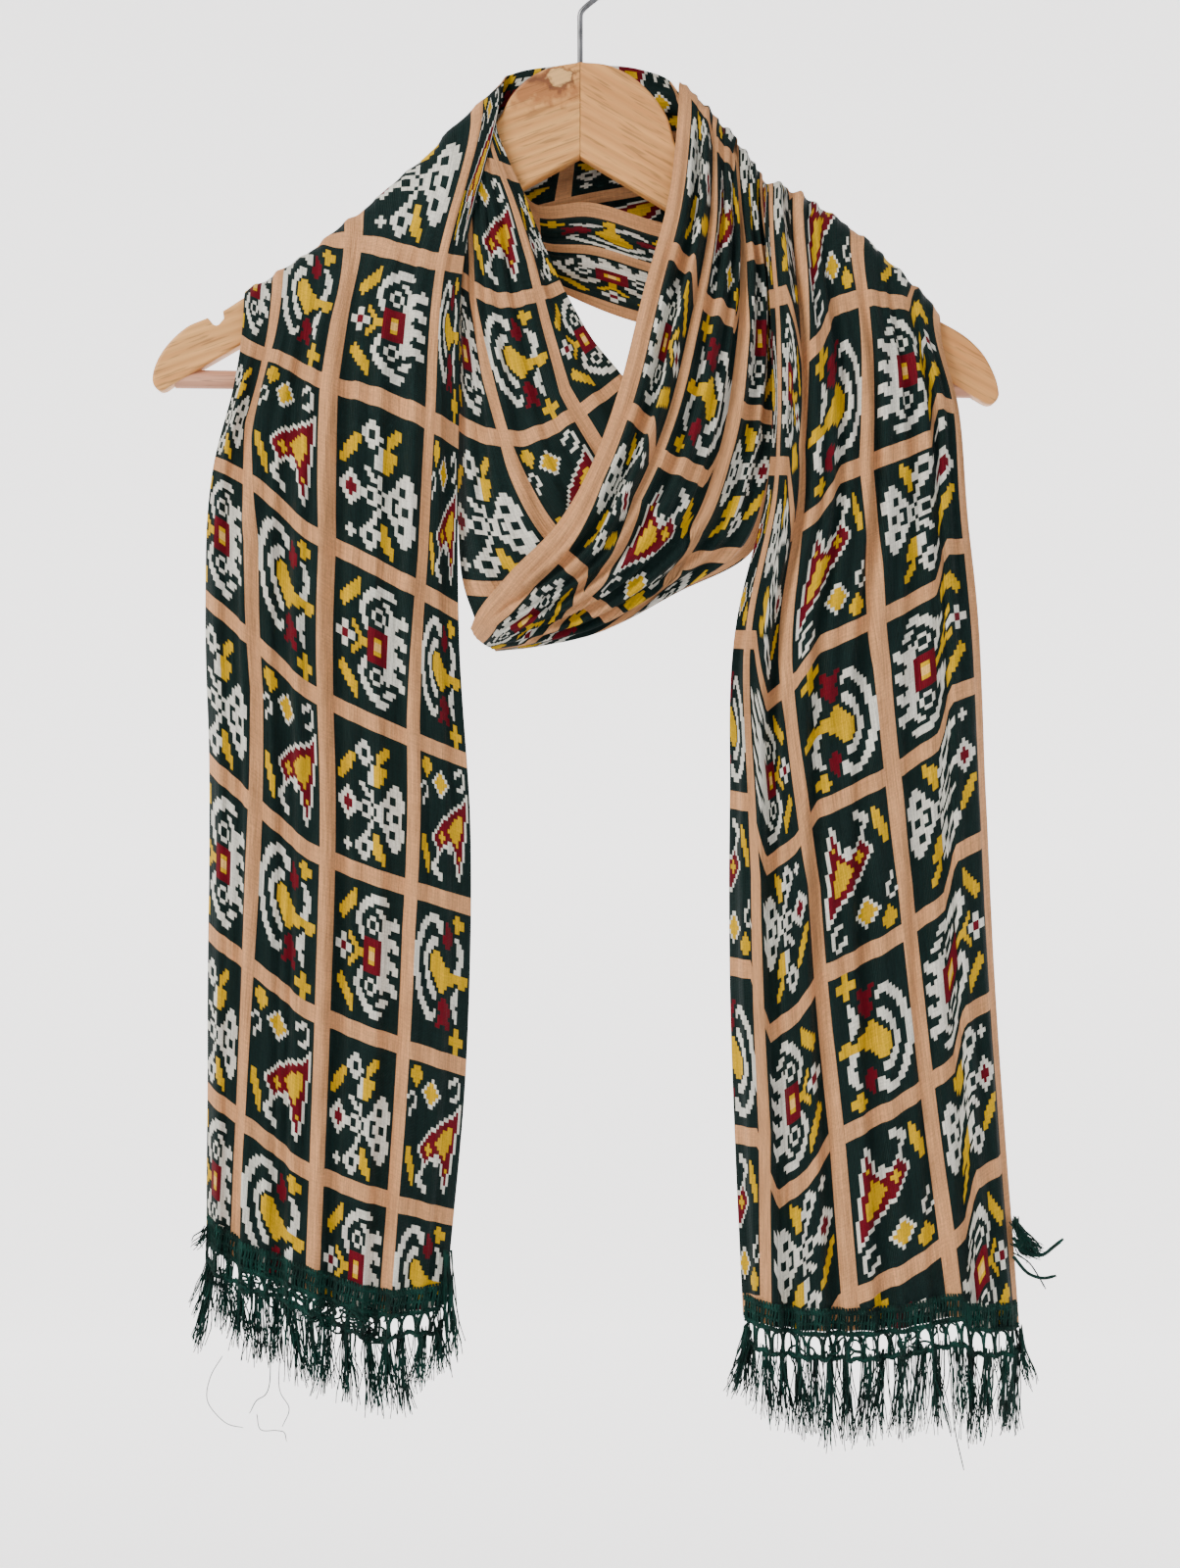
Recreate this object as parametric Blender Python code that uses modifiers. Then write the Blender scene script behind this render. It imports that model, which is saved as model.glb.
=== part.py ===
# A long printed stole, worn once round the neck of a wooden coat hanger.
# Metres, +Z up, the front towards -Y. The origin is the inner top of the hook's crook,
# where a rail holds it. The tables below are in millimetres.

import math
import random

import bmesh
import bpy
import numpy as np
from mathutils import Matrix, Vector

MM = 0.001

# Driving sizes, in millimetres.
CLOTH_WALL = 1.5
BRAID_WALL = 2.0
SEAM_GAP = 0.4
BAND_LAP = 1.95
BRAID_HEIGHT = 12.0
PLATE_THICKNESS = 12.0
PLATE_CHAMFER = 1.0
BAR_RADIUS = 4.9
BORE_CLEARANCE = 0.3
WIRE_RADIUS = 1.5
CROOK_RADIUS = 20.0
WOOD_TOP = -78.0
STEM_DEPTH = 20.0
ARC_ANGLES = (90, 55, 20, -20, -55, -90)  # from behind the arm, over it, to its front

# Where each stretch goes over its arm: a point (x, y, z) of the ridge and the radius
# of the bend, at the stretch's first edge, at its middle and at its second edge.
LEFT_TAIL_RIDGE = (
    ((-176, 0, -198), 9.5),
    ((-117, 0, -158.3), 12.0),
    ((-43, 0, -89), 16.5),
)
RIGHT_TAIL_RIDGE = (
    ((101, -3, -144.5), 14.0),
    ((142, -1, -165.6), 12.0),
    ((189, 0, -210.6), 9.5),
)
LEFT_LOOP_RIDGE = (
    ((-62, 0, -125.5), 9.5),
    ((-53, 0, -113.6), 9.5),
    ((-44, 0, -100.6), 9.5),
)
RIGHT_LOOP_RIDGE = (
    ((54, 3, -87), 13.0),
    ((78, 3, -113), 13.0),
    ((98, 3, -140), 12.0),
)

# The sections below the bend, each by three points: first edge, middle, second edge.
LEFT_TAIL_ROWS = (
    ((-180, -12, -246), (-122, -16, -214), (-60, -18, -181)),
    ((-191, -15, -292), (-127, -21, -277), (-63, -20, -271)),
    ((-196, -17, -359), (-130, -23, -367), (-63, -20, -377)),
    ((-194, -17, -452), (-127, -22, -473), (-57, -19, -483)),
    ((-195, -16, -566), (-129, -21, -587), (-59, -18, -600)),
    ((-196, -15, -692), (-133, -20, -711), (-69, -17, -718)),
)
RIGHT_TAIL_ROWS = (
    ((102, -31, -226), (149, -24, -240), (198, -14, -262)),
    ((97, -31, -303), (151, -26, -316), (203, -17, -325)),
    ((81, -27, -375), (145, -26, -384), (209, -19, -380)),
    ((78, -21, -463), (145, -25, -474), (213, -18, -462)),
    ((78, -19, -553), (148, -24, -562), (217, -18, -548)),
    ((81, -18, -646), (154, -23, -652), (223, -17, -638)),
    ((85, -17, -734), (159, -22, -737), (230, -16, -729)),
)
LEFT_LOOP_ROWS = (
    ((-63, -11, -165), (-48, -12, -158), (-29, -10, -149)),
    ((-65, -11, -214), (-42, -15, -207), (-14, -11, -186)),
    ((-65, -11, -266), (-32, -18, -256), (5, -13, -222)),
    ((-64, -12, -318), (-22, -22, -297), (25, -17, -248)),
    ((-61, -13, -354), (-10, -23, -326), (35, -20, -266)),
    ((-55, -14, -372), (0, -23, -341), (41, -21, -279)),
)
RIGHT_LOOP_ROWS = (
    ((46, -15, -152), (77, -19, -175), (104, -13, -212)),
    ((33, -25, -202), (70, -29, -222), (106, -14, -261)),
    ((19, -33, -257), (58, -36, -277), (102, -16, -302)),
    ((4, -37, -297), (41, -39, -318), (87, -19, -339)),
    ((-12, -37, -324), (21, -38, -344), (51, -22, -358)),
    ((-37, -34, -349), (-11, -34, -366), (9, -23, -379)),
    ((-53, -27, -368), (-40, -27, -378), (-27, -19, -387)),
    ((-57, -18, -376), (-52, -15, -383), (-43, -12, -388)),
)

# The two bands behind the neck, from left to right: upper edge, middle, lower edge.
# Their first and last sections are the ends of the stretches that they carry on.
UPPER_BAND_ROWS = (
    ((-36, 19, -84), (-78, 19, -160), (-99, 18, -217)),
    ((-16, 19, -80), (-35, 20, -150), (-58, 20, -209)),
    ((4, 19, -79), (0, 21, -140), (-5, 21, -190)),
    ((30, 19, -82), (38, 20, -132), (45, 20, -182)),
    ((46, 18, -89), (63, 19, -125), (82, 18, -170)),
)
LOWER_BAND_ROWS = (
    ((-36, 10, -128), (-44, 11, -151), (-50, 11, -168)),
    ((-24, 10, -149), (-22, 11, -172), (-19, 11, -191)),
    ((4, 10, -148), (7, 12, -176), (10, 11, -205)),
    ((40, 10, -158), (43, 12, -187), (46, 11, -216)),
    ((79, 10, -166), (92, 11, -195), (108, 11, -226)),
)

# Pleats: where each ridge lies across the cloth at its start and at its end (0 to 1),
# its half width as a share of the cloth's width, and its height in millimetres.
LEFT_TAIL_PLEATS = (
    (0.05, 0.06, 0.030, 3.0),
    (0.16, 0.17, 0.035, 5.0),
    (0.27, 0.26, 0.030, 3.0),
    (0.37, 0.36, 0.035, 4.0),
    (0.47, 0.47, 0.040, 6.0),
    (0.58, 0.56, 0.030, 3.0),
    (0.69, 0.66, 0.035, 4.0),
    (0.82, 0.78, 0.035, 5.0),
    (0.93, 0.90, 0.030, 3.0),
)
RIGHT_TAIL_PLEATS = (
    (0.05, 0.05, 0.028, 3.0),
    (0.13, 0.12, 0.030, 5.0),
    (0.21, 0.20, 0.028, 5.0),
    (0.30, 0.28, 0.030, 5.0),
    (0.39, 0.36, 0.028, 4.0),
    (0.48, 0.45, 0.030, 4.0),
    (0.57, 0.55, 0.035, 5.0),
    (0.67, 0.65, 0.028, 3.0),
    (0.77, 0.76, 0.035, 6.0),
    (0.87, 0.86, 0.028, 4.0),
    (0.95, 0.95, 0.028, 3.0),
)
LEFT_LOOP_PLEATS = (
    (0.15, 0.12, 0.050, 3.0),
    (0.30, 0.26, 0.050, 3.0),
    (0.45, 0.40, 0.050, 3.5),
    (0.60, 0.55, 0.050, 3.0),
    (0.73, 0.70, 0.045, 3.5),
    (0.87, 0.86, 0.045, 2.5),
)
RIGHT_LOOP_PLEATS = (
    (0.06, 0.08, 0.045, 4.0),
    (0.20, 0.22, 0.045, 4.0),
    (0.33, 0.36, 0.045, 5.0),
    (0.46, 0.50, 0.045, 4.0),
    (0.58, 0.62, 0.040, 4.0),
    (0.70, 0.74, 0.040, 3.0),
    (0.83, 0.86, 0.040, 3.0),
)
UPPER_BAND_PLEATS = (
    (0.08, 0.08, 0.050, 2.5),
    (0.25, 0.24, 0.055, 3.5),
    (0.42, 0.42, 0.055, 3.0),
    (0.60, 0.60, 0.055, 3.5),
    (0.78, 0.80, 0.055, 3.0),
)
LOWER_BAND_PLEATS = (
    (0.14, 0.12, 0.060, 2.0),
    (0.34, 0.32, 0.060, 2.5),
    (0.54, 0.52, 0.060, 2.5),
    (0.76, 0.76, 0.060, 2.5),
)

# The plate's two outlines, x and z in millimetres. "round" points are smooth.
LEFT_OUTLINE = (
    (-0.15, -127.6, "corner"),
    (-0.15, WOOD_TOP, "corner"),
    (-16.5, -81.1, "round"),
    (-27.5, -86.8, "round"),
    (-36.2, -95.6, "round"),
    (-42.0, -106.5, "round"),
    (-55.0, -124.0, "round"),
    (-76.0, -145.0, "round"),
    (-125.0, -176.0, "round"),
    (-172.0, -199.2, "round"),
    (-187.7, -209.0, "corner"),
    (-187.2, -213.0, "corner"),
    (-191.3, -216.5, "round"),
    (-195.7, -212.5, "corner"),
    (-207.3, -217.6, "round"),
    (-219.5, -230.0, "round"),
    (-224.9, -244.0, "round"),
    (-221.0, -250.7, "round"),
    (-213.0, -246.8, "corner"),
    (-179.4, -227.4, "corner"),
)
RIGHT_OUTLINE = (
    (0.15, -127.6, "corner"),
    (43.9, -154.0, "corner"),
    (189.2, -242.4, "corner"),
    (207.3, -254.3, "corner"),
    (216.0, -257.9, "round"),
    (220.2, -252.0, "round"),
    (214.0, -234.7, "round"),
    (203.5, -223.0, "round"),
    (189.0, -214.2, "round"),
    (133.0, -182.0, "round"),
    (76.0, -146.0, "round"),
    (53.0, -126.0, "round"),
    (45.5, -106.4, "round"),
    (37.2, -94.5, "round"),
    (26.9, -85.4, "round"),
    (14.5, -79.6, "round"),
    (0.15, WOOD_TOP, "corner"),
)
BAR_ENDS = ((-213.2, -244.0), (208.0, -249.2))

# Strands of each fringe: how many, and their shortest and longest lengths.
LEFT_STRANDS = (50, 34.0, 52.0)
RIGHT_STRANDS = (54, 38.0, 58.0)
STRAND_RADII = (0.8, 0.35)
STRAND_ROOT = 3.0
STRAND_LEAN = 0.7

# How far the tails' long edges roll back, and from which shares of their length.
EDGE_ROLL = 5.0
NO_ROLL = (0, 1, 1)
# Where a neck band's pleats grow from nothing and fade to nothing again.
BAND_GROW = (0.0, 0.25, 0.8, 1.0)
RIDGE_PLEATS = 0.25  # the share of a pleat's height where it goes over an arm

COLOURS = {
    "cloth": ((0.014, 0.045, 0.040), 0.7, 0.0),
    "braid": ((0.006, 0.050, 0.036), 0.8, 0.0),
    "wood": ((0.55, 0.33, 0.18), 0.5, 0.0),
    "bar wood": ((0.60, 0.36, 0.24), 0.45, 0.0),
    "steel": ((0.60, 0.60, 0.62), 0.25, 1.0),
}


def start_scene():
    """Removes the startup objects and returns the collections of the parts and cutters."""
    for obj in list(bpy.data.objects):
        bpy.data.objects.remove(obj)
    parts = bpy.data.collections.new("stole_on_hanger")
    cutters = bpy.data.collections.new("cutters")
    for collection in (parts, cutters):
        bpy.context.scene.collection.children.link(collection)
    return parts, cutters


def material(name):
    colour, roughness, metallic = COLOURS[name]
    made = bpy.data.materials.get(name) or bpy.data.materials.new(name)
    made.use_nodes = True
    shader = made.node_tree.nodes["Principled BSDF"]
    shader.inputs["Base Color"].default_value = (*colour, 1)
    shader.inputs["Roughness"].default_value = roughness
    shader.inputs["Metallic"].default_value = metallic
    return made


def add_object(collection, name, data, finish):
    obj = bpy.data.objects.new(name, data)
    data.materials.clear()
    data.materials.append(material(finish))
    collection.objects.link(obj)
    return obj


def bend_rows(ridge):
    """Sections over an arm: half a circle round a centre below each point of the ridge."""
    rows = []
    for angle in ARC_ANGLES:
        turn = math.radians(angle)
        row = []
        for (x, y, z), radius in ridge:
            row.append((x, y + radius * math.sin(turn), z - radius * (1 - math.cos(turn))))
        rows.append(row)
    return rows


def behind_row(ridge, reverse):
    """The section where a stretch ends behind its arm, moved out so that a band laps it."""
    row = [(x, y + BAND_LAP, z) for x, y, z in bend_rows(ridge)[0]]
    return row[::-1] if reverse else row


def run_along(rows, at):
    """Reads the sections at shares of the way along, by smooth curves through them."""
    rows = np.array(rows, float)
    steps = np.linalg.norm(np.diff(rows, axis=0), axis=2).mean(axis=1)
    knots = np.concatenate([[0], np.cumsum(steps)])
    slopes = np.diff(rows, axis=0) / steps[:, None, None]
    tangents = np.concatenate([slopes[:1], slopes, slopes[-1:]])
    before = np.concatenate([steps[:1], steps])[:, None, None]
    after = np.concatenate([steps, steps[-1:]])[:, None, None]
    tangents = (tangents[:-1] * after + tangents[1:] * before) / (before + after)
    place = np.clip(at, 0, 1) * knots[-1]
    index = np.clip(np.searchsorted(knots, place, side="right") - 1, 0, len(steps) - 1)
    step = steps[index][:, None, None]
    u = ((place - knots[index]) / steps[index])[:, None, None]
    return (
        rows[index] * (2 * u**3 - 3 * u**2 + 1)
        + tangents[index] * step * (u**3 - 2 * u**2 + u)
        + rows[index + 1] * (3 * u**2 - 2 * u**3)
        + tangents[index + 1] * step * (u**3 - u**2)
    ), knots / knots[-1]


def ease(value, low, high):
    share = np.clip((value - low) / (high - low), 0, 1)
    return share * share * (3 - 2 * share)


def stretch_points(rows, along, columns, pleats, grow, roll):
    """The middle surface of one stretch, as a grid of points.

    Across, each section is a parabola through its three points. Pleats stand outward,
    and grow from the shares of the way along in grow: low and high at the start, then at
    the end. The edges roll back below the share that roll gives for each of them.
    """
    sections, _ = run_along(rows, along)
    across = np.linspace(0, 1, columns)
    s = across[None, :, None]
    t = along[:, None]
    first, middle, second = (sections[:, None, k] for k in range(3))
    points = (
        first * (1 - s) * (1 - 2 * s)
        + middle * 4 * s * (1 - s)
        + second * s * (2 * s - 1)
    )
    tangent_s = np.gradient(points, axis=1)
    tangent_t = np.gradient(points, axis=0)
    normal = np.cross(tangent_t, tangent_s)
    normal /= np.linalg.norm(normal, axis=2, keepdims=True)
    low, high, end_low, end_high = grow
    strength = RIDGE_PLEATS * ease(t, 0, 0.03) + (1 - RIDGE_PLEATS) * ease(t, low, high)
    strength = strength * (1 - ease(t, end_low, end_high))
    height = np.zeros(points.shape[:2])
    for at_start, at_end, width, depth in pleats:
        ridge = at_start + (at_end - at_start) * t
        height += depth * np.exp(-(((across - ridge) / width) ** 2))
    height *= strength
    depth, first_from, second_from = roll
    edge = np.abs(2 * across - 1) ** 8
    share = np.where(
        across < 0.5,
        ease(t, first_from, first_from + 0.15),
        ease(t, second_from, second_from + 0.15),
    )
    height -= depth * edge * share
    return points + normal * height[:, :, None]


def steps_along(rows, bend_count, below):
    """Shares of the way along: each section of the bend, then even steps to the end."""
    _, knots = run_along(rows, np.array([0.0]))
    bend = knots[:bend_count]
    return np.concatenate([bend, np.linspace(bend[-1], 1, below + 1)[1:]])


def wall_from_grid(collection, name, points, thickness, finish):
    """An open grid of points made into a wall by Solidify."""
    rows, columns = points.shape[:2]
    corner = np.arange((rows - 1) * columns).reshape(rows - 1, columns)[:, :-1].ravel()
    faces = np.stack([corner, corner + 1, corner + columns + 1, corner + columns], axis=1)
    mesh = bpy.data.meshes.new(name)
    mesh.from_pydata((points.reshape(-1, 3) * MM).tolist(), [], faces.tolist())
    mesh.shade_smooth()
    obj = add_object(collection, name, mesh, finish)
    solidify = obj.modifiers.new("wall", "SOLIDIFY")
    solidify.thickness = thickness * MM
    solidify.offset = 0
    return obj


def front_stretches(parts):
    """The four stretches that go over the arms. Returns their grids, by name."""
    # Name, ridge over the arm, sections below it, pleats, columns across, steps below
    # the bend, where the pleats grow and fade, how far the edges roll back.
    table = (
        ("left_tail", LEFT_TAIL_RIDGE, LEFT_TAIL_ROWS, LEFT_TAIL_PLEATS, 36, 13,
         (0.08, 0.22, 2, 3), (EDGE_ROLL, 0.30, 0.55)),
        ("right_tail", RIGHT_TAIL_RIDGE, RIGHT_TAIL_ROWS, RIGHT_TAIL_PLEATS, 40, 13,
         (0.04, 0.20, 2, 3), (EDGE_ROLL, 0.45, 0.30)),
        ("left_loop", LEFT_LOOP_RIDGE, LEFT_LOOP_ROWS, LEFT_LOOP_PLEATS, 24, 10,
         (0.15, 0.35, 2, 3), NO_ROLL),
        ("right_loop", RIGHT_LOOP_RIDGE, RIGHT_LOOP_ROWS, RIGHT_LOOP_PLEATS, 26, 13,
         (0.08, 0.25, 0.9, 1.2), NO_ROLL),
    )
    grids = {}
    for name, ridge, rows, pleats, columns, below, grow, roll in table:
        rows = [*bend_rows(ridge), *rows]
        along = steps_along(rows, len(ARC_ANGLES), below)
        grids[name] = stretch_points(rows, along, columns, pleats, grow, roll)
        wall_from_grid(parts, name, grids[name], CLOTH_WALL, "cloth")
    return grids


def neck_bands(parts):
    """The two stretches behind the neck, each between the ends that it joins."""
    # Name, first section, sections between, last section, pleats, columns, steps.
    table = (
        ("upper_neck_band", behind_row(LEFT_TAIL_RIDGE, True), UPPER_BAND_ROWS,
         behind_row(RIGHT_LOOP_RIDGE, False), UPPER_BAND_PLEATS, 20, 14),
        ("lower_neck_band", behind_row(LEFT_LOOP_RIDGE, True), LOWER_BAND_ROWS,
         behind_row(RIGHT_TAIL_RIDGE, False), LOWER_BAND_PLEATS, 18, 14),
    )
    for name, start, rows, end, pleats, columns, steps in table:
        along = np.linspace(0, 1, steps)
        points = stretch_points([start, *rows, end], along, columns, pleats, BAND_GROW, NO_ROLL)
        wall_from_grid(parts, name, points, CLOTH_WALL, "cloth")


def place_along(line, share):
    """A point and the sideways direction at a share of a line's length."""
    steps = np.linalg.norm(np.diff(line, axis=0), axis=1)
    lengths = np.concatenate([[0], np.cumsum(steps)])
    here = share * lengths[-1]
    point = np.array([np.interp(here, lengths, line[:, k]) for k in range(3)])
    index = min(int(np.searchsorted(lengths, here, side="right")) - 1, len(steps) - 1)
    return point, (line[index + 1] - line[index]) / steps[index]


def add_fringe(parts, cutters, name, grid, strands, seed):
    """A braid parted from the hem by the seam's gap, with the strands' roots fused in."""
    hem = grid[-1]
    down = hem - grid[-2]
    down /= np.linalg.norm(down, axis=1, keepdims=True)
    levels = (SEAM_GAP, BRAID_HEIGHT / 2, BRAID_HEIGHT)
    braid = np.stack([hem + down * level for level in levels])
    obj = wall_from_grid(parts, name, braid, BRAID_WALL, "braid")
    count, shortest, longest = strands
    chance = random.Random(seed)
    edge = braid[-1]
    bm = bmesh.new()
    for k in range(count):
        root, sideways = place_along(edge, (k + 0.5) / count)
        length = chance.uniform(shortest, longest)
        lean = Vector(sideways * (chance.uniform(-1, 1) * STRAND_LEAN / length))
        way = (Vector((0, 0, -1)) + lean + Vector((0, -0.01, 0))).normalized()
        start = Vector(root) - way * STRAND_ROOT
        centre = start + way * (length + STRAND_ROOT) / 2
        turn = Vector((0, 0, 1)).rotation_difference(way).to_matrix().to_4x4()
        bmesh.ops.create_cone(
            bm,
            cap_ends=True,
            segments=3,
            radius1=STRAND_RADII[0] * MM,
            radius2=STRAND_RADII[1] * MM,
            depth=(length + STRAND_ROOT) * MM,
            matrix=Matrix.Translation(centre * MM) @ turn,
        )
    bmesh.ops.recalc_face_normals(bm, faces=bm.faces)
    mesh = bpy.data.meshes.new(name + "_strands")
    bm.to_mesh(mesh)
    bm.free()
    locks = add_object(cutters, name + "_strands", mesh, "braid")
    locks.hide_render = True
    locks.display_type = "WIRE"
    join = obj.modifiers.new("strands", "BOOLEAN")
    join.operation = "UNION"
    join.object = locks


def plate_half(parts, cutters, name, outline):
    """One half of the plate: a flat outline with chamfered rims, cut for bar and hook."""
    curve = bpy.data.curves.new(name, "CURVE")
    curve.dimensions = "2D"
    curve.fill_mode = "BOTH"
    curve.resolution_u = 3
    curve.extrude = (PLATE_THICKNESS / 2 - PLATE_CHAMFER) * MM
    curve.bevel_depth = PLATE_CHAMFER * MM
    curve.bevel_resolution = 0
    curve.offset = -PLATE_CHAMFER * MM
    spline = curve.splines.new("BEZIER")
    spline.bezier_points.add(len(outline) - 1)
    spline.use_cyclic_u = True
    for point, (x, z, kind) in zip(spline.bezier_points, outline):
        point.co = (x * MM, z * MM, 0)
        handle = "AUTO" if kind == "round" else "VECTOR"
        point.handle_left_type = handle
        point.handle_right_type = handle
    guide = add_object(parts, name + "_outline", curve, "wood")
    guide.rotation_euler = (math.pi / 2, 0, 0)
    bpy.context.view_layer.update()
    graph = bpy.context.evaluated_depsgraph_get()
    mesh = bpy.data.meshes.new_from_object(guide.evaluated_get(graph))
    place = guide.matrix_world.copy()
    bpy.data.objects.remove(guide)
    bm = bmesh.new()
    bm.from_mesh(mesh)
    bmesh.ops.remove_doubles(bm, verts=bm.verts, dist=1e-5)
    bmesh.ops.recalc_face_normals(bm, faces=bm.faces)
    bm.to_mesh(mesh)
    bm.free()
    mesh.set_sharp_from_angle(angle=math.radians(30))
    half = add_object(parts, name, mesh, "wood")
    half.matrix_world = place
    for cutter in cutters:
        cut = half.modifiers.new(cutter.name, "BOOLEAN")
        cut.operation = "DIFFERENCE"
        cut.object = cutter


def rod(collection, name, start, end, radius, sides, finish):
    """A round rod between two points (x, z) of the plate's middle plane."""
    begin = Vector((start[0], 0, start[1])) * MM
    finish_point = Vector((end[0], 0, end[1])) * MM
    way = finish_point - begin
    bm = bmesh.new()
    bmesh.ops.create_cone(
        bm,
        cap_ends=True,
        segments=sides,
        radius1=radius * MM,
        radius2=radius * MM,
        depth=way.length,
    )
    mesh = bpy.data.meshes.new(name)
    bm.to_mesh(mesh)
    bm.free()
    mesh.shade_smooth()
    mesh.set_sharp_from_angle(angle=math.radians(40))
    obj = add_object(collection, name, mesh, finish)
    obj.location = (begin + finish_point) / 2
    obj.rotation_mode = "QUATERNION"
    obj.rotation_quaternion = Vector((0, 0, 1)).rotation_difference(way)
    return obj


def as_cutter(obj):
    obj.hide_render = True
    obj.display_type = "WIRE"
    return obj


def hook_route():
    """The wire's middle line, from its free tip over the crook and down into the wood."""
    radius = CROOK_RADIUS + WIRE_RADIUS
    route = []
    for degrees in range(205, -51, -15):
        turn = math.radians(degrees)
        route.append((radius * math.cos(turn), radius * math.sin(turn) - CROOK_RADIUS))
    # The neck swings back from the crook's side to the stem, then runs straight down.
    from_x, from_z = route[-1]
    neck_drop = 16.0
    for k in range(1, 7):
        share = k / 6
        swing = share * share * (3 - 2 * share)
        route.append((from_x * (1 - swing), from_z - neck_drop * share))
    route.append((0, WOOD_TOP - STEM_DEPTH))
    return route


def add_hook(parts):
    curve = bpy.data.curves.new("hanger_hook", "CURVE")
    curve.dimensions = "3D"
    curve.bevel_depth = WIRE_RADIUS * MM
    curve.bevel_resolution = 2
    curve.use_fill_caps = True
    route = hook_route()
    spline = curve.splines.new("POLY")
    spline.points.add(len(route) - 1)
    for point, (x, z) in zip(spline.points, route):
        point.co = (x * MM, 0, z * MM, 1)
    add_object(parts, "hanger_hook", curve, "steel")


def add_hanger(parts, cutters):
    """Two glued halves with the bar let into their tips and the hook into their top."""
    left_end, right_end = BAR_ENDS
    rod(parts, "hanger_bar", left_end, right_end, BAR_RADIUS, 20, "bar wood")
    bore = as_cutter(rod(
        cutters,
        "bar_bore",
        (left_end[0] - BORE_CLEARANCE, left_end[1]),
        (right_end[0] + BORE_CLEARANCE, right_end[1]),
        BAR_RADIUS + BORE_CLEARANCE,
        20,
        "wood",
    ))
    socket = as_cutter(rod(
        cutters,
        "hook_bore",
        (0, WOOD_TOP - STEM_DEPTH - BORE_CLEARANCE),
        (0, WOOD_TOP + 5),
        WIRE_RADIUS + BORE_CLEARANCE,
        12,
        "wood",
    ))
    plate_half(parts, (bore, socket), "hanger_left", LEFT_OUTLINE)
    plate_half(parts, (bore, socket), "hanger_right", RIGHT_OUTLINE)
    add_hook(parts)


def main():
    parts, cutters = start_scene()
    add_hanger(parts, cutters)
    grids = front_stretches(parts)
    neck_bands(parts)
    add_fringe(parts, cutters, "left_fringe", grids["left_tail"], LEFT_STRANDS, 3)
    add_fringe(parts, cutters, "right_fringe", grids["right_tail"], RIGHT_STRANDS, 5)


main()
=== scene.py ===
import math

import bpy
import numpy as np
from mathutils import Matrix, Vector


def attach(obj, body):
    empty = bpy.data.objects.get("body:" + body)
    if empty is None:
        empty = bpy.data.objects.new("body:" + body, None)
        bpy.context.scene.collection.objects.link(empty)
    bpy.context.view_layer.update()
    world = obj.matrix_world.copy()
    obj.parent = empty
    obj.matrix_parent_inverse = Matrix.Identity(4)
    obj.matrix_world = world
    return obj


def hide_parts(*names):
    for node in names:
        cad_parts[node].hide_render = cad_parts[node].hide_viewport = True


# A printed stole worn once round the neck of a wooden hanger, dressed over its solids.
# Everything is in metres, +Z up, the front towards -Y. The tables are in millimetres.

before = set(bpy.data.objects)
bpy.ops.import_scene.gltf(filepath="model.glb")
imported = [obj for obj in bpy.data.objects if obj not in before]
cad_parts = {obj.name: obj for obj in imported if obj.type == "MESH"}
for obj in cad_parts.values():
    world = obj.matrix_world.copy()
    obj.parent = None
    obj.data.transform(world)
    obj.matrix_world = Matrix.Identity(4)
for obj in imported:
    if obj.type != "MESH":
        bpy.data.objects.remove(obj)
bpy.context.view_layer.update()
mm = 0.001


# camera and light
studio = {
    "cameraAt": (0.0052, -1.5, -0.4575),
    "lens": 65.3,
    "worldLight": 0.32,
    "keyPower": 74.0,
    "fillPower": 9.0,
    "backPower": 14.0,
}


def softLight(name, place, target, size, power, colour=(1, 1, 1)):
    light = bpy.data.lights.new(name, "AREA")
    light.color = colour
    light.energy = power
    light.size = size
    obj = bpy.data.objects.new(name, light)
    obj.location = place
    obj.rotation_euler = (Vector(target) - Vector(place)).to_track_quat("-Z", "Y").to_euler()
    obj.visible_camera = False
    bpy.context.scene.collection.objects.link(obj)


def setStudio():
    scene = bpy.context.scene
    camera = bpy.data.objects.new("camera", bpy.data.cameras.new("camera"))
    camera.data.lens = studio["lens"]
    camera.location = studio["cameraAt"]
    camera.rotation_euler = (math.radians(90), 0, 0)
    scene.collection.objects.link(camera)
    scene.camera = camera
    world = bpy.data.worlds.new("paleRoom")
    world.use_nodes = True
    background = world.node_tree.nodes["Background"]
    background.inputs["Color"].default_value = (1, 0.99, 0.985, 1)
    background.inputs["Strength"].default_value = studio["worldLight"]
    scene.world = world
    middle = (0, 0, -0.4)
    softLight("keyLight", (-1.7, -1.5, 1.1), middle, 1.3, studio["keyPower"], (1, 0.95, 0.88))
    softLight("fillLight", (1.7, -1.6, -0.2), middle, 2.0, studio["fillPower"])
    softLight("backLight", (1.1, 2.2, 0.9), middle, 1.8, studio["backPower"])


def tone(red, green, blue):  # the linear colour of a screen colour
    return tuple(((c / 255 + 0.055) / 1.055) ** 2.4 for c in (red, green, blue))


def newPiece(name, points, faces, material):
    mesh = bpy.data.meshes.new(name)
    mesh.from_pydata(points.tolist(), [], faces)
    mesh.shade_smooth()
    mesh.materials.append(material)
    piece = bpy.data.objects.new(name, mesh)
    bpy.context.scene.collection.objects.link(piece)
    return piece


def ringQuads(rings, count):  # faces between closed rings of points, numbered ring by ring
    k = (np.arange(rings - 1) * count)[:, None]
    i = np.arange(count)
    j = (i + 1) % count
    return np.stack([k + i, k + count + i, k + count + j, k + j], axis=-1).reshape(-1, 4)


# finishes
def newMaterial(name, colour, values):
    made = bpy.data.materials.new(name)
    made.use_nodes = True
    shader = made.node_tree.nodes["Principled BSDF"]
    shader.inputs["Base Color"].default_value = (*colour, 1)
    for socket, value in values.items():
        shader.inputs[socket].default_value = value
    return made, made.node_tree, shader


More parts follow.
